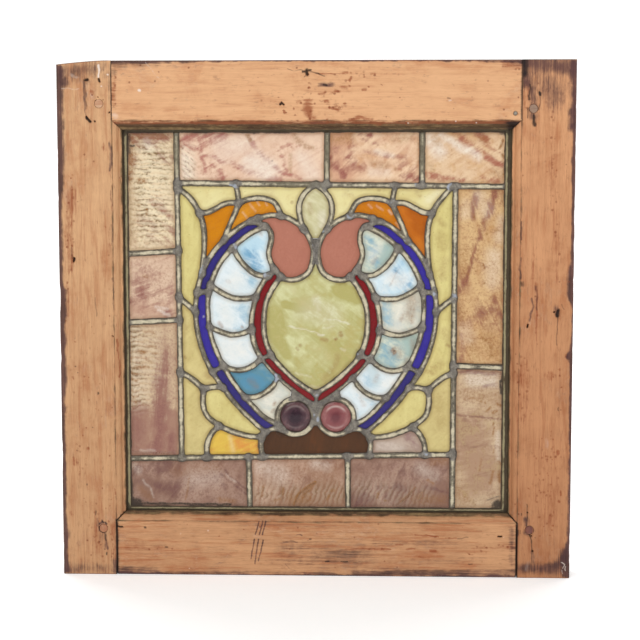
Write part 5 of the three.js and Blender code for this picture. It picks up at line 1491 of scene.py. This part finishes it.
# %% Scars and stains
# `red` is a worm spot or a rusty streak, `cut` a scored line, and `hole` a nail hole.
SCARS = {
    "left_stile": dict(hole=[(100, 1.7, 28, 494, 30.6, 494.4), (90, 1.56, 42.5, 495, 42.5, 492),
        (90, 1.4, 36.5, 453), (100, 1.79, 29, 457, 32, 453), (70, 0.94, 41, 477),
        (100, 1.56, 14.5, 319, 14.5, 315), *dots(80, 1.33, 51.8, 462, 53, 241.5), *dots(60, 0.78, 38, 473,
        46, 474)], stain=[(50, 1.6, 29, 485, 28.6, 470, 29, 456), (60, 2, 28, 492, 29, 466),
        (90, 6, 6, 504, 8, 490), (50, 7, 12, 506, 48, 507), (55, 5, 18, 500, 26, 498),
        (40, 5, 40, 502, 50, 498), (50, 2.4, 52, 508, 53.5, 470),
        (75, 1.9, 52.6, 432, 52.8, 418, 52.6, 405), (50, 1.5, 53.2, 385, 53.4, 370),
        (45, 1.5, 53.2, 352, 53.4, 333), (45, 1.5, 53.4, 300, 53.6, 268),
        (60, 1.3, 36, 58, 35, 50, 36.4, 44), (90, 4, 52, 13, 52, 3), (60, 6, 4, 4, 18, 5),
        (62, 10, 8, 503, 42, 505), (30, 5, 16, 494, 32, 492), (50, 7, 8, 7, 48, 6),
        (80, 1.6, 36.5, 51, 40, 53.5, 44, 52), (45, 7, 41, 46, 42, 36), (60, 3.6, 42.5, 40, 43.5, 28),
        (80, 1.5, 43, 35, 45, 26)], red=[(60, 3, 35, 482), (60, 2.6, 46, 431, 47, 426),
        (45, 1.1, 53, 405, 53, 366), (50, 2, 38.5, 354), (30, 2, 46.5, 349.5), (50, 3.4, 50.5, 332),
        (60, 1.2, 11.5, 313, 11.5, 303), (40, 1.5, 49, 288), (40, 6, 14, 386, 10, 340, 12, 304),
        (80, 2.4, 26, 128), (70, 2.8, 13.5, 117, 13.5, 112), (70, 1.1, 53.5, 87, 53.5, 82),
        (70, 2, 9, 63, 9, 60), (60, 1.2, 57, 238, 58, 225, 59, 210, 58.2, 200), (55, 4, 51.5, 50, 51.5, 14),
        (35, 3, 8, 300, 8, 262), (22, 12, 18, 130, 18, 104), (25, 10, 32, 60, 38, 20),
        (20, 10, 14, 215, 18, 180), *dots(50, 1.2, 11.5, 400, 37.5, 167, 25, 118, 47, 111.5, 13.5, 104,
        18, 105, 38.5, 104.5, 41, 95.5, 39.5, 88, 22, 77.5, 23.5, 74, 19, 70, 18.5, 66.5, 49.5, 76, 30, 70,
        43.5, 68), *dots(60, 1.2, 15, 401, 13, 397.5, 34.5, 168, 48, 120.5, 48, 41, 46, 54.5),
        *dots(50, 1.4, 12.5, 343, 21, 336.5, 42, 331, 50.5, 262, 29.5, 255, 31.5, 250, 34, 244, 15, 236),
        *dots(50, 1.3, 13, 199, 27, 200.5, 39, 193.5), *dots(60, 1.3, 28, 177.5, 25, 149, 20.5, 141.5)],
        pale=[(100, 1.5, 42.5, 497, 42.7, 508), (90, 1.6, 51.5, 498), (70, 1.2, 44.5, 487),
        (40, 1.3, 5, 485, 22, 484.6), (35, 3, 14, 500, 22, 496), (30, 4, 32, 480, 36, 476),
        (22, 5, 45, 170, 45, 130)], dark=[(50, 1.2, 27, 391), (50, 1.2, 13, 318, 13, 330),
        (50, 1.4, 35.5, 280, 36.5, 270, 38, 262), (70, 1.4, 17.5, 204), (70, 1.6, 37, 185, 37, 183.5),
        (60, 1.4, 25, 92.5, 25, 91.5), (60, 1.1, 33, 64, 33, 61.5), (70, 1.4, 40.5, 55, 40.5, 53),
        (60, 1.3, 41.5, 42, 42.5, 36), (60, 1.2, 36.5, 33.5), (80, 1.5, 38, 43.5, 41, 42),
        (70, 1.5, 43.5, 40, 43, 35), (80, 1.4, 44.5, 22, 44.5, 20), (70, 1.2, 38, 30),
        *dots(70, 1.5, 14.5, 211, 42, 26), *dots(60, 1.4, 31.5, 150, 15.5, 125.5)]),
    "right_stile": dict(stain=[(100, 13, 6, 508, 22, 508, 50, 505), (45, 14, 30, 498, 44, 484),
        (90, 9, 5, 500, 6, 490), (60, 6, 46, 508, 49, 488, 50, 470), (60, 12, 16, 500, 32, 494),
        (70, 18, 26, 490, 32, 474), (80, 5.5, 12, 484, 12, 458), (90, 5, 50, 462, 50, 446),
        (60, 1.5, 1.6, 355, 1.8, 338), (60, 1.5, 1.6, 320, 1.8, 300), (40, 1.6, 17, 292, 18, 270),
        (70, 1.4, 13.5, 280, 14, 272, 12, 266, 11, 258), (70, 3.6, 37, 271, 39, 264),
        (25, 7, 8, 180, 6, 158), (80, 3.2, 10, 60, 11, 54), (90, 4.4, 12, 46, 15, 48),
        (50, 2.4, 16, 26, 18, 8), (75, 7, 6, 10, 22, 10, 44, 8), (90, 6, 50, 26, 46, 14, 26, 9)],
        dark=[(95, 5.5, 3, 511, 4, 499), (75, 1.9, 9, 488, 8, 474), (60, 1.6, 7, 466, 6.5, 456),
        (85, 2.4, 12.5, 458, 13, 449), (100, 2.2, 19, 480, 19, 478), (60, 1.7, 18.5, 477, 17.6, 464),
        (50, 1.3, 13, 479, 14, 473), (50, 2, 52, 458, 52, 450), (60, 1.4, 45.5, 411),
        (70, 2.8, 4, 295.5, 4, 293), (55, 1, 42, 274, 45, 269), (60, 1.3, 39.5, 262, 38, 243, 38, 234),
        (60, 1.4, 40.5, 171, 40.5, 169), (50, 1.2, 16.5, 95), (60, 1.4, 5.5, 65, 5.5, 63.5),
        (60, 1.4, 5, 47.5, 5, 45), (60, 1.3, 19.5, 41), (65, 1.2, 11, 74, 11.4, 60, 10.4, 53),
        (70, 1.3, 14.5, 43, 15.5, 36, 16.5, 28), *dots(50, 1.3, 8.5, 187, 6, 103)],
        red=[(50, 5, 6, 490, 6, 466), (40, 2, 16, 296, 18, 285, 17.5, 270, 18, 250, 19, 235),
        (80, 2.6, 48, 223), (70, 1.8, 40.5, 210), (55, 3, 29, 205, 32, 207, 35, 204, 32, 201, 29, 204),
        (42, 9, 5, 215, 5, 186, 6, 160), (95, 2.4, 41, 128, 41, 125.5), (95, 1.8, 19.5, 120),
        (70, 1.5, 12.5, 90), (80, 1.5, 44, 88, 44, 84), (90, 2.4, 42.5, 77), (30, 16, 26, 130, 32, 60),
        (30, 9, 40, 124, 38, 84), (30, 8, 16, 96, 20, 78), (30, 2, 21, 160, 22, 130),
        (50, 2, 13, 300, 15, 330), (25, 7, 28, 480, 38, 300), *dots(60, 1.3, 17, 489, 25, 484.5, 8, 476),
        *dots(60, 1.4, 3, 400, 26, 404, 35, 404.5, 41.5, 204, 43.5, 192.5), *dots(80, 1.5, 25, 140.5,
        30, 123), *dots(70, 1.4, 34, 143.5, 34, 149, 36.5, 139.5), *dots(70, 1.3, 36, 133, 35, 120.5,
        33, 116, 30, 118, 30, 106.5, 34, 95), *dots(80, 1.6, 38, 128, 36, 53), *dots(70, 1.2, 23, 105,
        31.5, 104, 23, 89, 31, 88, 34, 88, 34.5, 80, 29, 70, 27, 52.5, 36, 49, 34, 43, 23.5, 43)],
        hole=[(100, 1.48, 9.5, 254, 9.5, 252), (100, 2.5, 39.5, 268.5, 39, 263), (90, 1.5, 36, 267),
        (90, 1.33, 11.5, 66), (80, 1.25, 16, 42), (90, 1.48, 17, 26.5)], pale=[(35, 5, 29, 138, 30, 132),
        (60, 1, 46, 16, 48.5, 14, 47, 10), (50, 1, 49.5, 12, 50, 8), (50, 1, 46, 8, 46.4, 5),
        (30, 4, 12, 16, 12, 8)]),
    "top_rail": dict(stain=[(50, 4, -197, 58, -197, 50), (50, 5, -198, 57, -186, 58),
        (35, 4, -180, 58, -150, 59), (95, 3.2, 5, 38.5, 17, 38.5), (50, 3, 199, 58, 190, 59),
        (40, 2.4, -40, 2.6, -12, 2.4), (40, 2, -4, 2, 10, 2)], red=[(50, 3.4, -197, 46, -198, 20),
        (60, 1.7, -64, 32.5), (50, 1.6, -56, 45), (60, 1.2, 4, 49, 30, 50), (80, 1.7, -6, 40),
        (75, 2, 4, 30, 9, 30), (70, 1.7, 15, 30, 18, 30), (80, 2.6, 20, 32, 24, 32),
        (75, 2.8, 26, 35, 30, 35), (75, 2.2, 27, 50, 31, 50), (70, 1.9, 35, 50), (75, 2.2, 35, 46, 34, 42),
        (75, 1.9, 46, 34, 50, 34), (60, 2, 54, 49, 58, 49), (95, 6, -8, 22, -6, 10), (60, 3, -3, 10, -1, 6),
        (75, 2, -18, 22, -15, 22), (70, 1.7, -22, 27.5), (80, 2.6, -9, 13, -7, 11),
        (75, 1.8, 9, 22, 13, 22), (70, 2, 14, 18), (75, 2.4, 17, 15, 22, 13), (60, 1.8, 29, 21),
        (35, 3, 18, 19, 24, 16), (50, 1, -44, 22, -34, 22), (80, 1.6, -30, 13, -30, 11), (50, 1.4, 52, 19),
        (65, 2.4, 34, 4.6, 44, 6.8, 56, 4.4), (70, 1.5, 134.5, 15.5), (60, 5, 200, 57, 184, 58),
        (22, 13, -12, 18, 22, 16), (22, 12, 4, 32, 34, 38), (20, 9, 24, 49, 58, 48),
        (40, 4, -9, 20, -7, 12), (40, 3, 12, 20, 22, 14), (40, 3, 60, 1, 100, 1), *dots(60, 1.4, -153, 51,
        -105.5, 8.5, -128, 12, 168, 41.5), *dots(70, 1.6, -6, 35, -4, 30, 52, 36), *dots(70, 1.8, 33, 37.5,
        61, 30), *dots(60, 1.6, 43, 47, 48, 46, -12, 26), *dots(70, 1.4, 65, 38.5, -20, 10, -20, 16),
        *dots(60, 1.3, -36, 26, 12, 5, 161, 29.5, 168.5, 29.8, 83, 25.5), *dots(40, 2, 70, 48, 70, 7)],
        pale=[(55, 4, -197, 10, -195, 8), (90, 2.4, -172, 34), (35, 1.2, -166, 60, -152, 44),
        (50, 1.4, 130, 22.5, 133, 22.6), *dots(80, 1.2, 91, 2, 137.5, 3, 157, 2)],
        hole=[(100, 2.11, -8, 53, -8, 48), (95, 1.56, -34, 20, -32.5, 21.5, -31, 20)],
        dark=[(90, 1.8, -12, 51, -5, 52), (60, 1, -27, 53, -12, 52.4), (70, 1.2, -5, 50, 4, 49, 9, 47),
        (60, 1, -11, 46, -9, 49), (90, 1.8, 9, 38.6, 12, 38.4), (40, 1.5, 68, 48),
        (60, 1.6, 129, 25, 132, 25), (60, 1.6, 82, 2.5, 88, 2.5), *dots(40, 1.4, 63, 33, 7, 18)]),
    "bottom_rail": dict(hole=[(80, 1.48, -198, 48.5, -194, 48.5), (90, 1.4, 182.5, 42, 185.5, 42)],
        pale=[(30, 2, -192, 47), (60, 1.8, -134.5, 42), (50, 1.6, -107.5, 45), (50, 1.4, -126.5, 6),
        (30, 1.1, -101, 11, -95, 13, -89, 19, -85, 25, -80, 29, -76, 33, -70, 38),
        (35, 3, -61, 40, -55, 40), (70, 1.2, 188, 41)], dark=[(80, 1.5, -172, 48, -170, 48),
        (70, 1.3, -151, 28, -149, 28), (70, 1.3, -6, 37, -4, 37), (50, 1.2, 1.5, 43.5),
        (70, 1, 10, 15, 14, 15), (70, 1, 26, 15, 32, 15), (60, 1.1, 143, 39, 153, 41),
        (60, 1.1, 153.5, 14, 156.5, 14)], red=[(60, 1.4, 30, 28, 75, 28), (60, 1.3, 82, 32.5, 88, 32.5),
        (60, 1.3, 92, 28, 100, 28), (60, 1.2, 100, 43, 124, 41), (80, 2, 116, 27, 120, 27),
        (60, 1.2, 130, 39.5, 142, 39.5), (60, 1.2, 152, 25, 157, 23), (50, 1.3, 104, 20, 115, 20),
        (60, 1.3, 168, 16), (60, 1.2, 147, 51.5), (60, 1.4, 129, 64), (40, 3, -190, 28, -130, 26),
        (35, 6, 160, 30, 196, 30), *dots(70, 1.4, -128.5, 52, -97, 40, -72, 46.5), *dots(50, 1.2, 75, 60,
        111, 57)], stain=[(35, 4, -96, 12, -86, 20), (60, 1.2, -18, 41.6, -15.5, 42.8, -13, 41.6),
        (60, 1, -32, 35, -18, 35), (50, 1.1, -30, 12, -25, 7, -20, 5.5), (55, 4, 196, 50, 196, 14),
        (70, 5, -198, 4, -160, 4), (55, 3.4, -150, 2, 20, 2), (75, 5, 40, 4, 120, 3, 198, 5),
        (22, 12, -120, 30, -60, 24), (45, 15, -30, 22, 50, 20), (35, 5, -104, 8, -86, 20, -72, 38),
        (20, 3, -180, 51.5, -60, 51.5), (30, 6, 60, 34, 140, 34), (30, 5, 90, 16, 180, 18),
        (30, 3, -60, 52, 20, 51)], cut=[(90, 1, -56.5, 55, -60, 42), (90, 1, -52.5, 55, -56, 42),
        (90, 1, -49.5, 55, -53, 42), (90, 1, -61, 37, -64.5, 17), (90, 1, -57, 37, -60.5, 12),
        (90, 1, -52, 36, -57, 15)]),
}
SCAR_ORIGINS = {"left_stile": (-254, 0), "right_stile": (200, 0), "top_rail": (0, 450),
                "bottom_rail": (0, 0)}
PINS = {"pin_top_left": (-212.3, 470.5), "pin_top_right": (212.5, 465), "pin_foot_left": (-213, 47),
        "pin_foot_right": (213.5, 48.5)}
PIN_RADIUS = 4.1
NAIL = (195, 460.5)
NAIL_RADIUS = 1.9
print("scars:", sum(len(strokes) for scars in SCARS.values() for strokes in scars.values()))

# %% [markdown]
# ## Where the old colour stayed
#
# The dark band on the outer arris is told by where its edge runs: a few heights and how far in the
# band reaches there. The moulding keeps its dirt by its own section: a thin line in the quirk, and
# a broader one in the corner next to the glass. That broader band is partly painted shade, and it is
# widest under the top rail, where painted shade also darkens the reveal.

# %% Old colour along the arrises and mouldings
BANDS = {
    # member: (places along it, and how far in the band reaches at each)
    "left_stile": (
        (0, 15, 25, 40, 60, 110, 120, 175, 185, 195, 220, 228, 235, 250, 262, 288, 290, 385, 400, 512),
        (9, 5, 6, 7, 4, 4.5, 4.5, 4.5, 6, 7, 7, 5, 7, 5, 8, 8, 4.5, 4.5, 7, 7)),
    "right_stile": (
        (0, 12, 22, 25, 35, 40, 215, 223, 230, 275, 285, 310, 316, 385, 440, 455, 470, 512),
        (9, 9, 9, 8, 5, 2.5, 2.5, 7, 2.5, 2.5, 7, 7, 3.5, 3.5, 4, 8, 5, 8)),
    "top_rail": ((-200, -190, -150, 0, 20, 90, 120, 190, 201), (4, 3.2, 2, 0.9, 1.6, 0.9, 0.9, 2.4, 5)),
    "bottom_rail": ((-200, -150, -120, 40, 60, 201), (2.2, 1.8, 0.9, 0.9, 1.4, 2.4)),
}
# The dark corner band next to the glass is partly painted shade; the top rail's larger setback widens it
# there.
QUIRK_SETBACK = {"top_rail": 5.0, "bottom_rail": 0.8, "left_stile": -1.8, "right_stile": -1.8}
HALF_WIDTH = 254.0
HEAD = 512.4
MIDDLE = 250
OPENING = {"left": -200.0, "right": 201.5, "bottom": 55.0, "top": 453.8}
INNER_HALF = 202


def old_colour(x, z, member):
    """How much of the old dark colour is left at each point, and the dirt and painted shade in the
    moulding.
    """
    wander = 1.1 * uneven(x, z, 13, 5.2) + 0.7 * uneven(x, z, 4, 8.1)
    along = z if member.endswith("stile") else x
    reach = np.interp(along, *BANDS[member])
    outer, inner = {
        "left_stile": (x + HALF_WIDTH, x - OPENING["left"]),
        "right_stile": (HALF_WIDTH - x, OPENING["right"] - x),
        "top_rail": (HEAD - z, OPENING["top"] - z),
        "bottom_rail": (z, z - OPENING["bottom"]),
    }[member]
    band = 1 - rise(outer + wander, reach * 0.4, reach * 1.25 + 0.9)
    quirk = (1 - rise(abs(inner + 0.1), 0.4, 1.3)) * (0.75 + 0.5 * uneven(x, z, 17, 2))
    corner = rise(inner + 0.8 * wander + QUIRK_SETBACK[member], 4.8, 8.2)
    return band, quirk, corner


def joint_gap(x, z):
    """The open joints: nearly closed at the head and gaping at the foot."""
    head = z > OPENING["top"]
    run = np.where(x < 0, x - OPENING["left"], OPENING["right"] - x)
    width = np.where(head, np.where(x < 0, 0.5, 0.9), 1.1)
    line = (1 - rise(abs(run), width, width + 0.9)) * (head | (z < OPENING["bottom"]))
    climb = np.where(z > MIDDLE, OPENING["top"] - z, z - OPENING["bottom"])
    mitre = 1 - rise(abs(run - climb), 0.5, 1.4)
    for way in (run, climb):
        mitre = mitre * (way > -0.5) * (way < 9)
    return np.maximum(line * np.where(head, 0.75, 1.0), mitre * np.where(z > MIDDLE, 0.35, 0.9))


# %% Slice and mark the wood
REBATE_DEPTH = 14
HOLE_DEPTH = 2.2
CRACK_DEPTH = 0.25
HEAD_DIP = 3.8            # the outer corner of the left stile's head is worn down this far


def slice_between(bm, axis, stops, faces):
    """Cuts faces across an axis at each stop, by halves, so that few faces are met at each cut."""
    if not stops or not faces:
        return
    half = len(stops) // 2
    edges = {e for f in faces for e in f.edges}
    verts = {v for f in faces for v in f.verts}
    faces = made_of(bmesh.types.BMFace, cut_across(bm, axis, stops[half], [*verts, *edges, *faces]))
    low = [f for f in faces if f.calc_center_median()[axis] < stops[half]]
    high = [f for f in faces if f.calc_center_median()[axis] >= stops[half]]
    slice_between(bm, axis, stops[:half], low)
    slice_between(bm, axis, stops[half + 1:], high)


def stops_between(low, high, pitch):
    count = max(1, round((high - low) / pitch))
    return [low + (high - low) * step / count for step in range(1, count)]


def refine_near(bm, strokes, origin, widest, cuts):
    """Divides the front faces that are close to strokes no wider than `widest`."""
    faces = [f for f in bm.faces if f.normal.y < -0.3]
    centres = np.array([f.calc_center_median() for f in faces])
    near = np.zeros(len(faces), bool)
    for _, radius, *points in strokes:
        if radius <= widest:
            near |= stroke_gap(centres[:, 0] - origin[0], centres[:, 2] - origin[1], points) < radius + 1.3
    edges = {e for f, is_near in zip(faces, near) if is_near for e in f.edges}
    bmesh.ops.subdivide_edges(bm, edges=list(edges), cuts=cuts, use_grid_fill=True)


def make_member(node):
    upright = node.endswith("stile")
    bm = copied(node)
    bmesh.ops.dissolve_limit(bm, angle_limit=math.radians(1), verts=bm.verts[:], edges=bm.edges[:])
    x, y, z = places(bm.verts)
    slice_between(bm, 1, stops_between(y.min(), y.max(), 5), bm.faces[:])
    slice_between(bm, 0, stops_between(x.min(), x.max(), 2.1 if upright else 2.3), bm.faces[:])
    slice_between(bm, 2, stops_between(z.min(), z.max(), 2.3 if upright else 2.1), bm.faces[:])
    strokes = [stroke for kind_strokes in SCARS[node].values() for stroke in kind_strokes]
    for widest in (2.9, 1.6):
        refine_near(bm, strokes, SCAR_ORIGINS[node], widest, 1)
    pins = [(100, PIN_RADIUS + 1, *place) for place in PINS.values()] + [(100, 2.6, *NAIL)]
    refine_near(bm, pins, (0, 0), 9, 2)
    bm.normal_update()

    x, y, z = places(bm.verts)
    normals = np.array([v.normal for v in bm.verts])
    faces_front = rise(-normals[:, 1], 0.15, 0.5) * (y < at_depth(12.5))
    band, quirk, corner = old_colour(x, z, node)
    drift = uneven(x, z, 6, 12.5)
    marks = {kind: np.zeros(len(x)) for kind in ("red", "stain", "pale", "dark", "hole")}
    marks.update(brushed(x, z, SCARS[node], drift, SCAR_ORIGINS[node]))
    for kind in marks:
        marks[kind] = marks[kind] * faces_front

    def lay(kind, amount):
        marks[kind] = np.maximum(marks[kind], amount)

    tips = (z < 0.5) | (z > HEAD - 0.5) if upright else abs(x) > HALF_WIDTH - 0.6
    marks["end"] = rise(abs(normals[:, 2 if upright else 0]), 0.5, 0.8) * tips
    marks["band"] = band * (0.6 + 0.4 * rise(-normals[:, 1], -0.2, 0.3)) * (1 - marks["end"])
    above_rebate = y < at_depth(REBATE_DEPTH)
    in_opening = (z > OPENING["bottom"] - 1) & (z < OPENING["top"] + 1.2) & (abs(x) < INNER_HALF)
    marks["grime_and_shade"] = np.maximum(corner, quirk * 0.6) * in_opening * above_rebate
    lay("dark", quirk * 0.45 * in_opening * faces_front)
    lay("dark", joint_gap(x, z) * above_rebate)
    lay("dark", marks["hole"])
    if node == "top_rail":
        # Painted shade under the top rail's moulding, laid as a reddish-brown and dark band; the corner
        # band is darker still at the top right.
        under = (1 - rise(abs(OPENING["top"] - z - 1.8), 0.8, 2.6)) * in_opening * above_rebate
        lay("red", under * 0.7)
        lay("dark", under * 0.35 + corner * rise(x, 182, 192) * 0.9 * in_opening)
    pin_gap = np.full(len(x), FAR)
    for pin_x, pin_z in PINS.values():
        gap = np.hypot(x - pin_x, z - pin_z)
        past = gap - PIN_RADIUS
        ring = rise(past, -0.8, 0.1) * (1 - rise(past, 0.2, 1.1))
        lay("dark", (0.5 if pin_z > MIDDLE else 0.65) * ring * faces_front)
        pin_gap = np.minimum(pin_gap, gap)
    nail_gap = np.hypot(x - NAIL[0], z - NAIL[1])
    lay("dark", 0.75 * (1 - rise(nail_gap, NAIL_RADIUS, NAIL_RADIUS + 1.1)) * faces_front)

    wear = rise(uneven(x, z, 30, 1.7) + 0.5 * uneven(x, z, 7, 3.9), 0.0, 0.9)
    undulation = 0.10 + 0.10 * uneven(x, z, 34, 6.6) + 0.05 * drift
    sockets = (1.2 * (1 - rise(pin_gap, PIN_RADIUS - 0.1, PIN_RADIUS + 0.6))
               + 1.0 * (1 - rise(nail_gap, NAIL_RADIUS, NAIL_RADIUS + 0.7)))
    push_in = undulation * rise(-normals[:, 1], 0.2, 0.9)
    push_in += marks["hole"] * HOLE_DEPTH + marks["dark"] * CRACK_DEPTH + sockets * faces_front
    arris = (y < at_depth(2.2)) * rise(abs(x), HALF_WIDTH - 3.5, HALF_WIDTH) * wear
    for vert, inwards, blunt in zip(bm.verts, push_in, arris):
        vert.co.y = min(vert.co.y + inwards + 0.9 * blunt, at_depth(THICKNESS))
        vert.co.x -= math.copysign(0.7 * blunt, vert.co.x)
    if node == "left_stile":
        for vert in bm.verts:
            dip = HEAD_DIP * max(0.0, (-206 - vert.co.x) / 48) ** 1.4
            vert.co.z -= dip * float(rise(vert.co.z, HEAD - 20.4, HEAD - 0.4))
    write_marks(bm, bm.verts[:], marks)
    print(node, "faces:", len(bm.faces))
    keep_piece(f"worn_{node}", bm, WOODS[node], [node], sharp=50)


for member in WOODS:
    make_member(member)

# %% [markdown]
# ## Pins and a nail
#
# The joints are drawn up with round pins of harder wood, trimmed flush. Each is a short cylinder
# with its rim eased, turned so that its grain runs its own way. One forgotten nail sits in the head
# of the sash.

# %% Turn the pins
PIN_LENGTH = 6


def make_pin(name, place, radius, front, finish):
    bm = bmesh.new()
    middle = (place[0], at_depth(front + PIN_LENGTH / 2), place[1])
    stand = Matrix.Translation(middle) @ Matrix.Rotation(math.pi / 2, 4, "X")
    bmesh.ops.create_cone(bm, cap_ends=True, segments=28, radius1=radius, radius2=radius,
                          depth=PIN_LENGTH, matrix=stand)
    rim = [e for e in bm.edges if all(v.co.y < at_depth(front + 1) for v in e.verts)]
    bmesh.ops.bevel(bm, geom=rim, offset=0.45, segments=3, profile=0.5, affect="EDGES", material=-1)
    for vert in bm.verts:
        vert.co.x += 0.12 * ruffle(*vert.co, 3, 4)
        vert.co.z += 0.12 * ruffle(*vert.co, 3, 9)
    keep_piece(name, bm, finish, [])


PIN_WOODS = {
    "pin_top_left": wood_finish("pin_oak_pale", False, (206, 166, 134), (170, 124, 96), 51),
    "pin_top_right": wood_finish("pin_oak_mid", False, (160, 132, 112), (104, 78, 66), 57),
    "pin_foot_left": wood_finish("pin_oak_left", True, (176, 122, 90), (132, 84, 64), 63),
    "pin_foot_right": wood_finish("pin_oak_dark", True, (118, 76, 68), (92, 58, 54), 69),
}
for name, place in PINS.items():
    make_pin(name, place, PIN_RADIUS, 0.35, PIN_WOODS[name])


def rust_finish():
    rust = Finish("rusty_iron", Metallic=0.3)
    scale = rust.cloud(900, 3, 0.6, 0, 3)
    tone = rust.over(paint(112, 102, 90), paint(172, 164, 150), scale.rise(0.35, 0.65))
    return rust.finish(tone, 0.7 + (scale - 0.5) * 0.2, scale, 0.6, 0.0003)


make_pin("old_nail", NAIL, NAIL_RADIUS, 0.4, rust_finish())
print("pins:", list(PINS))
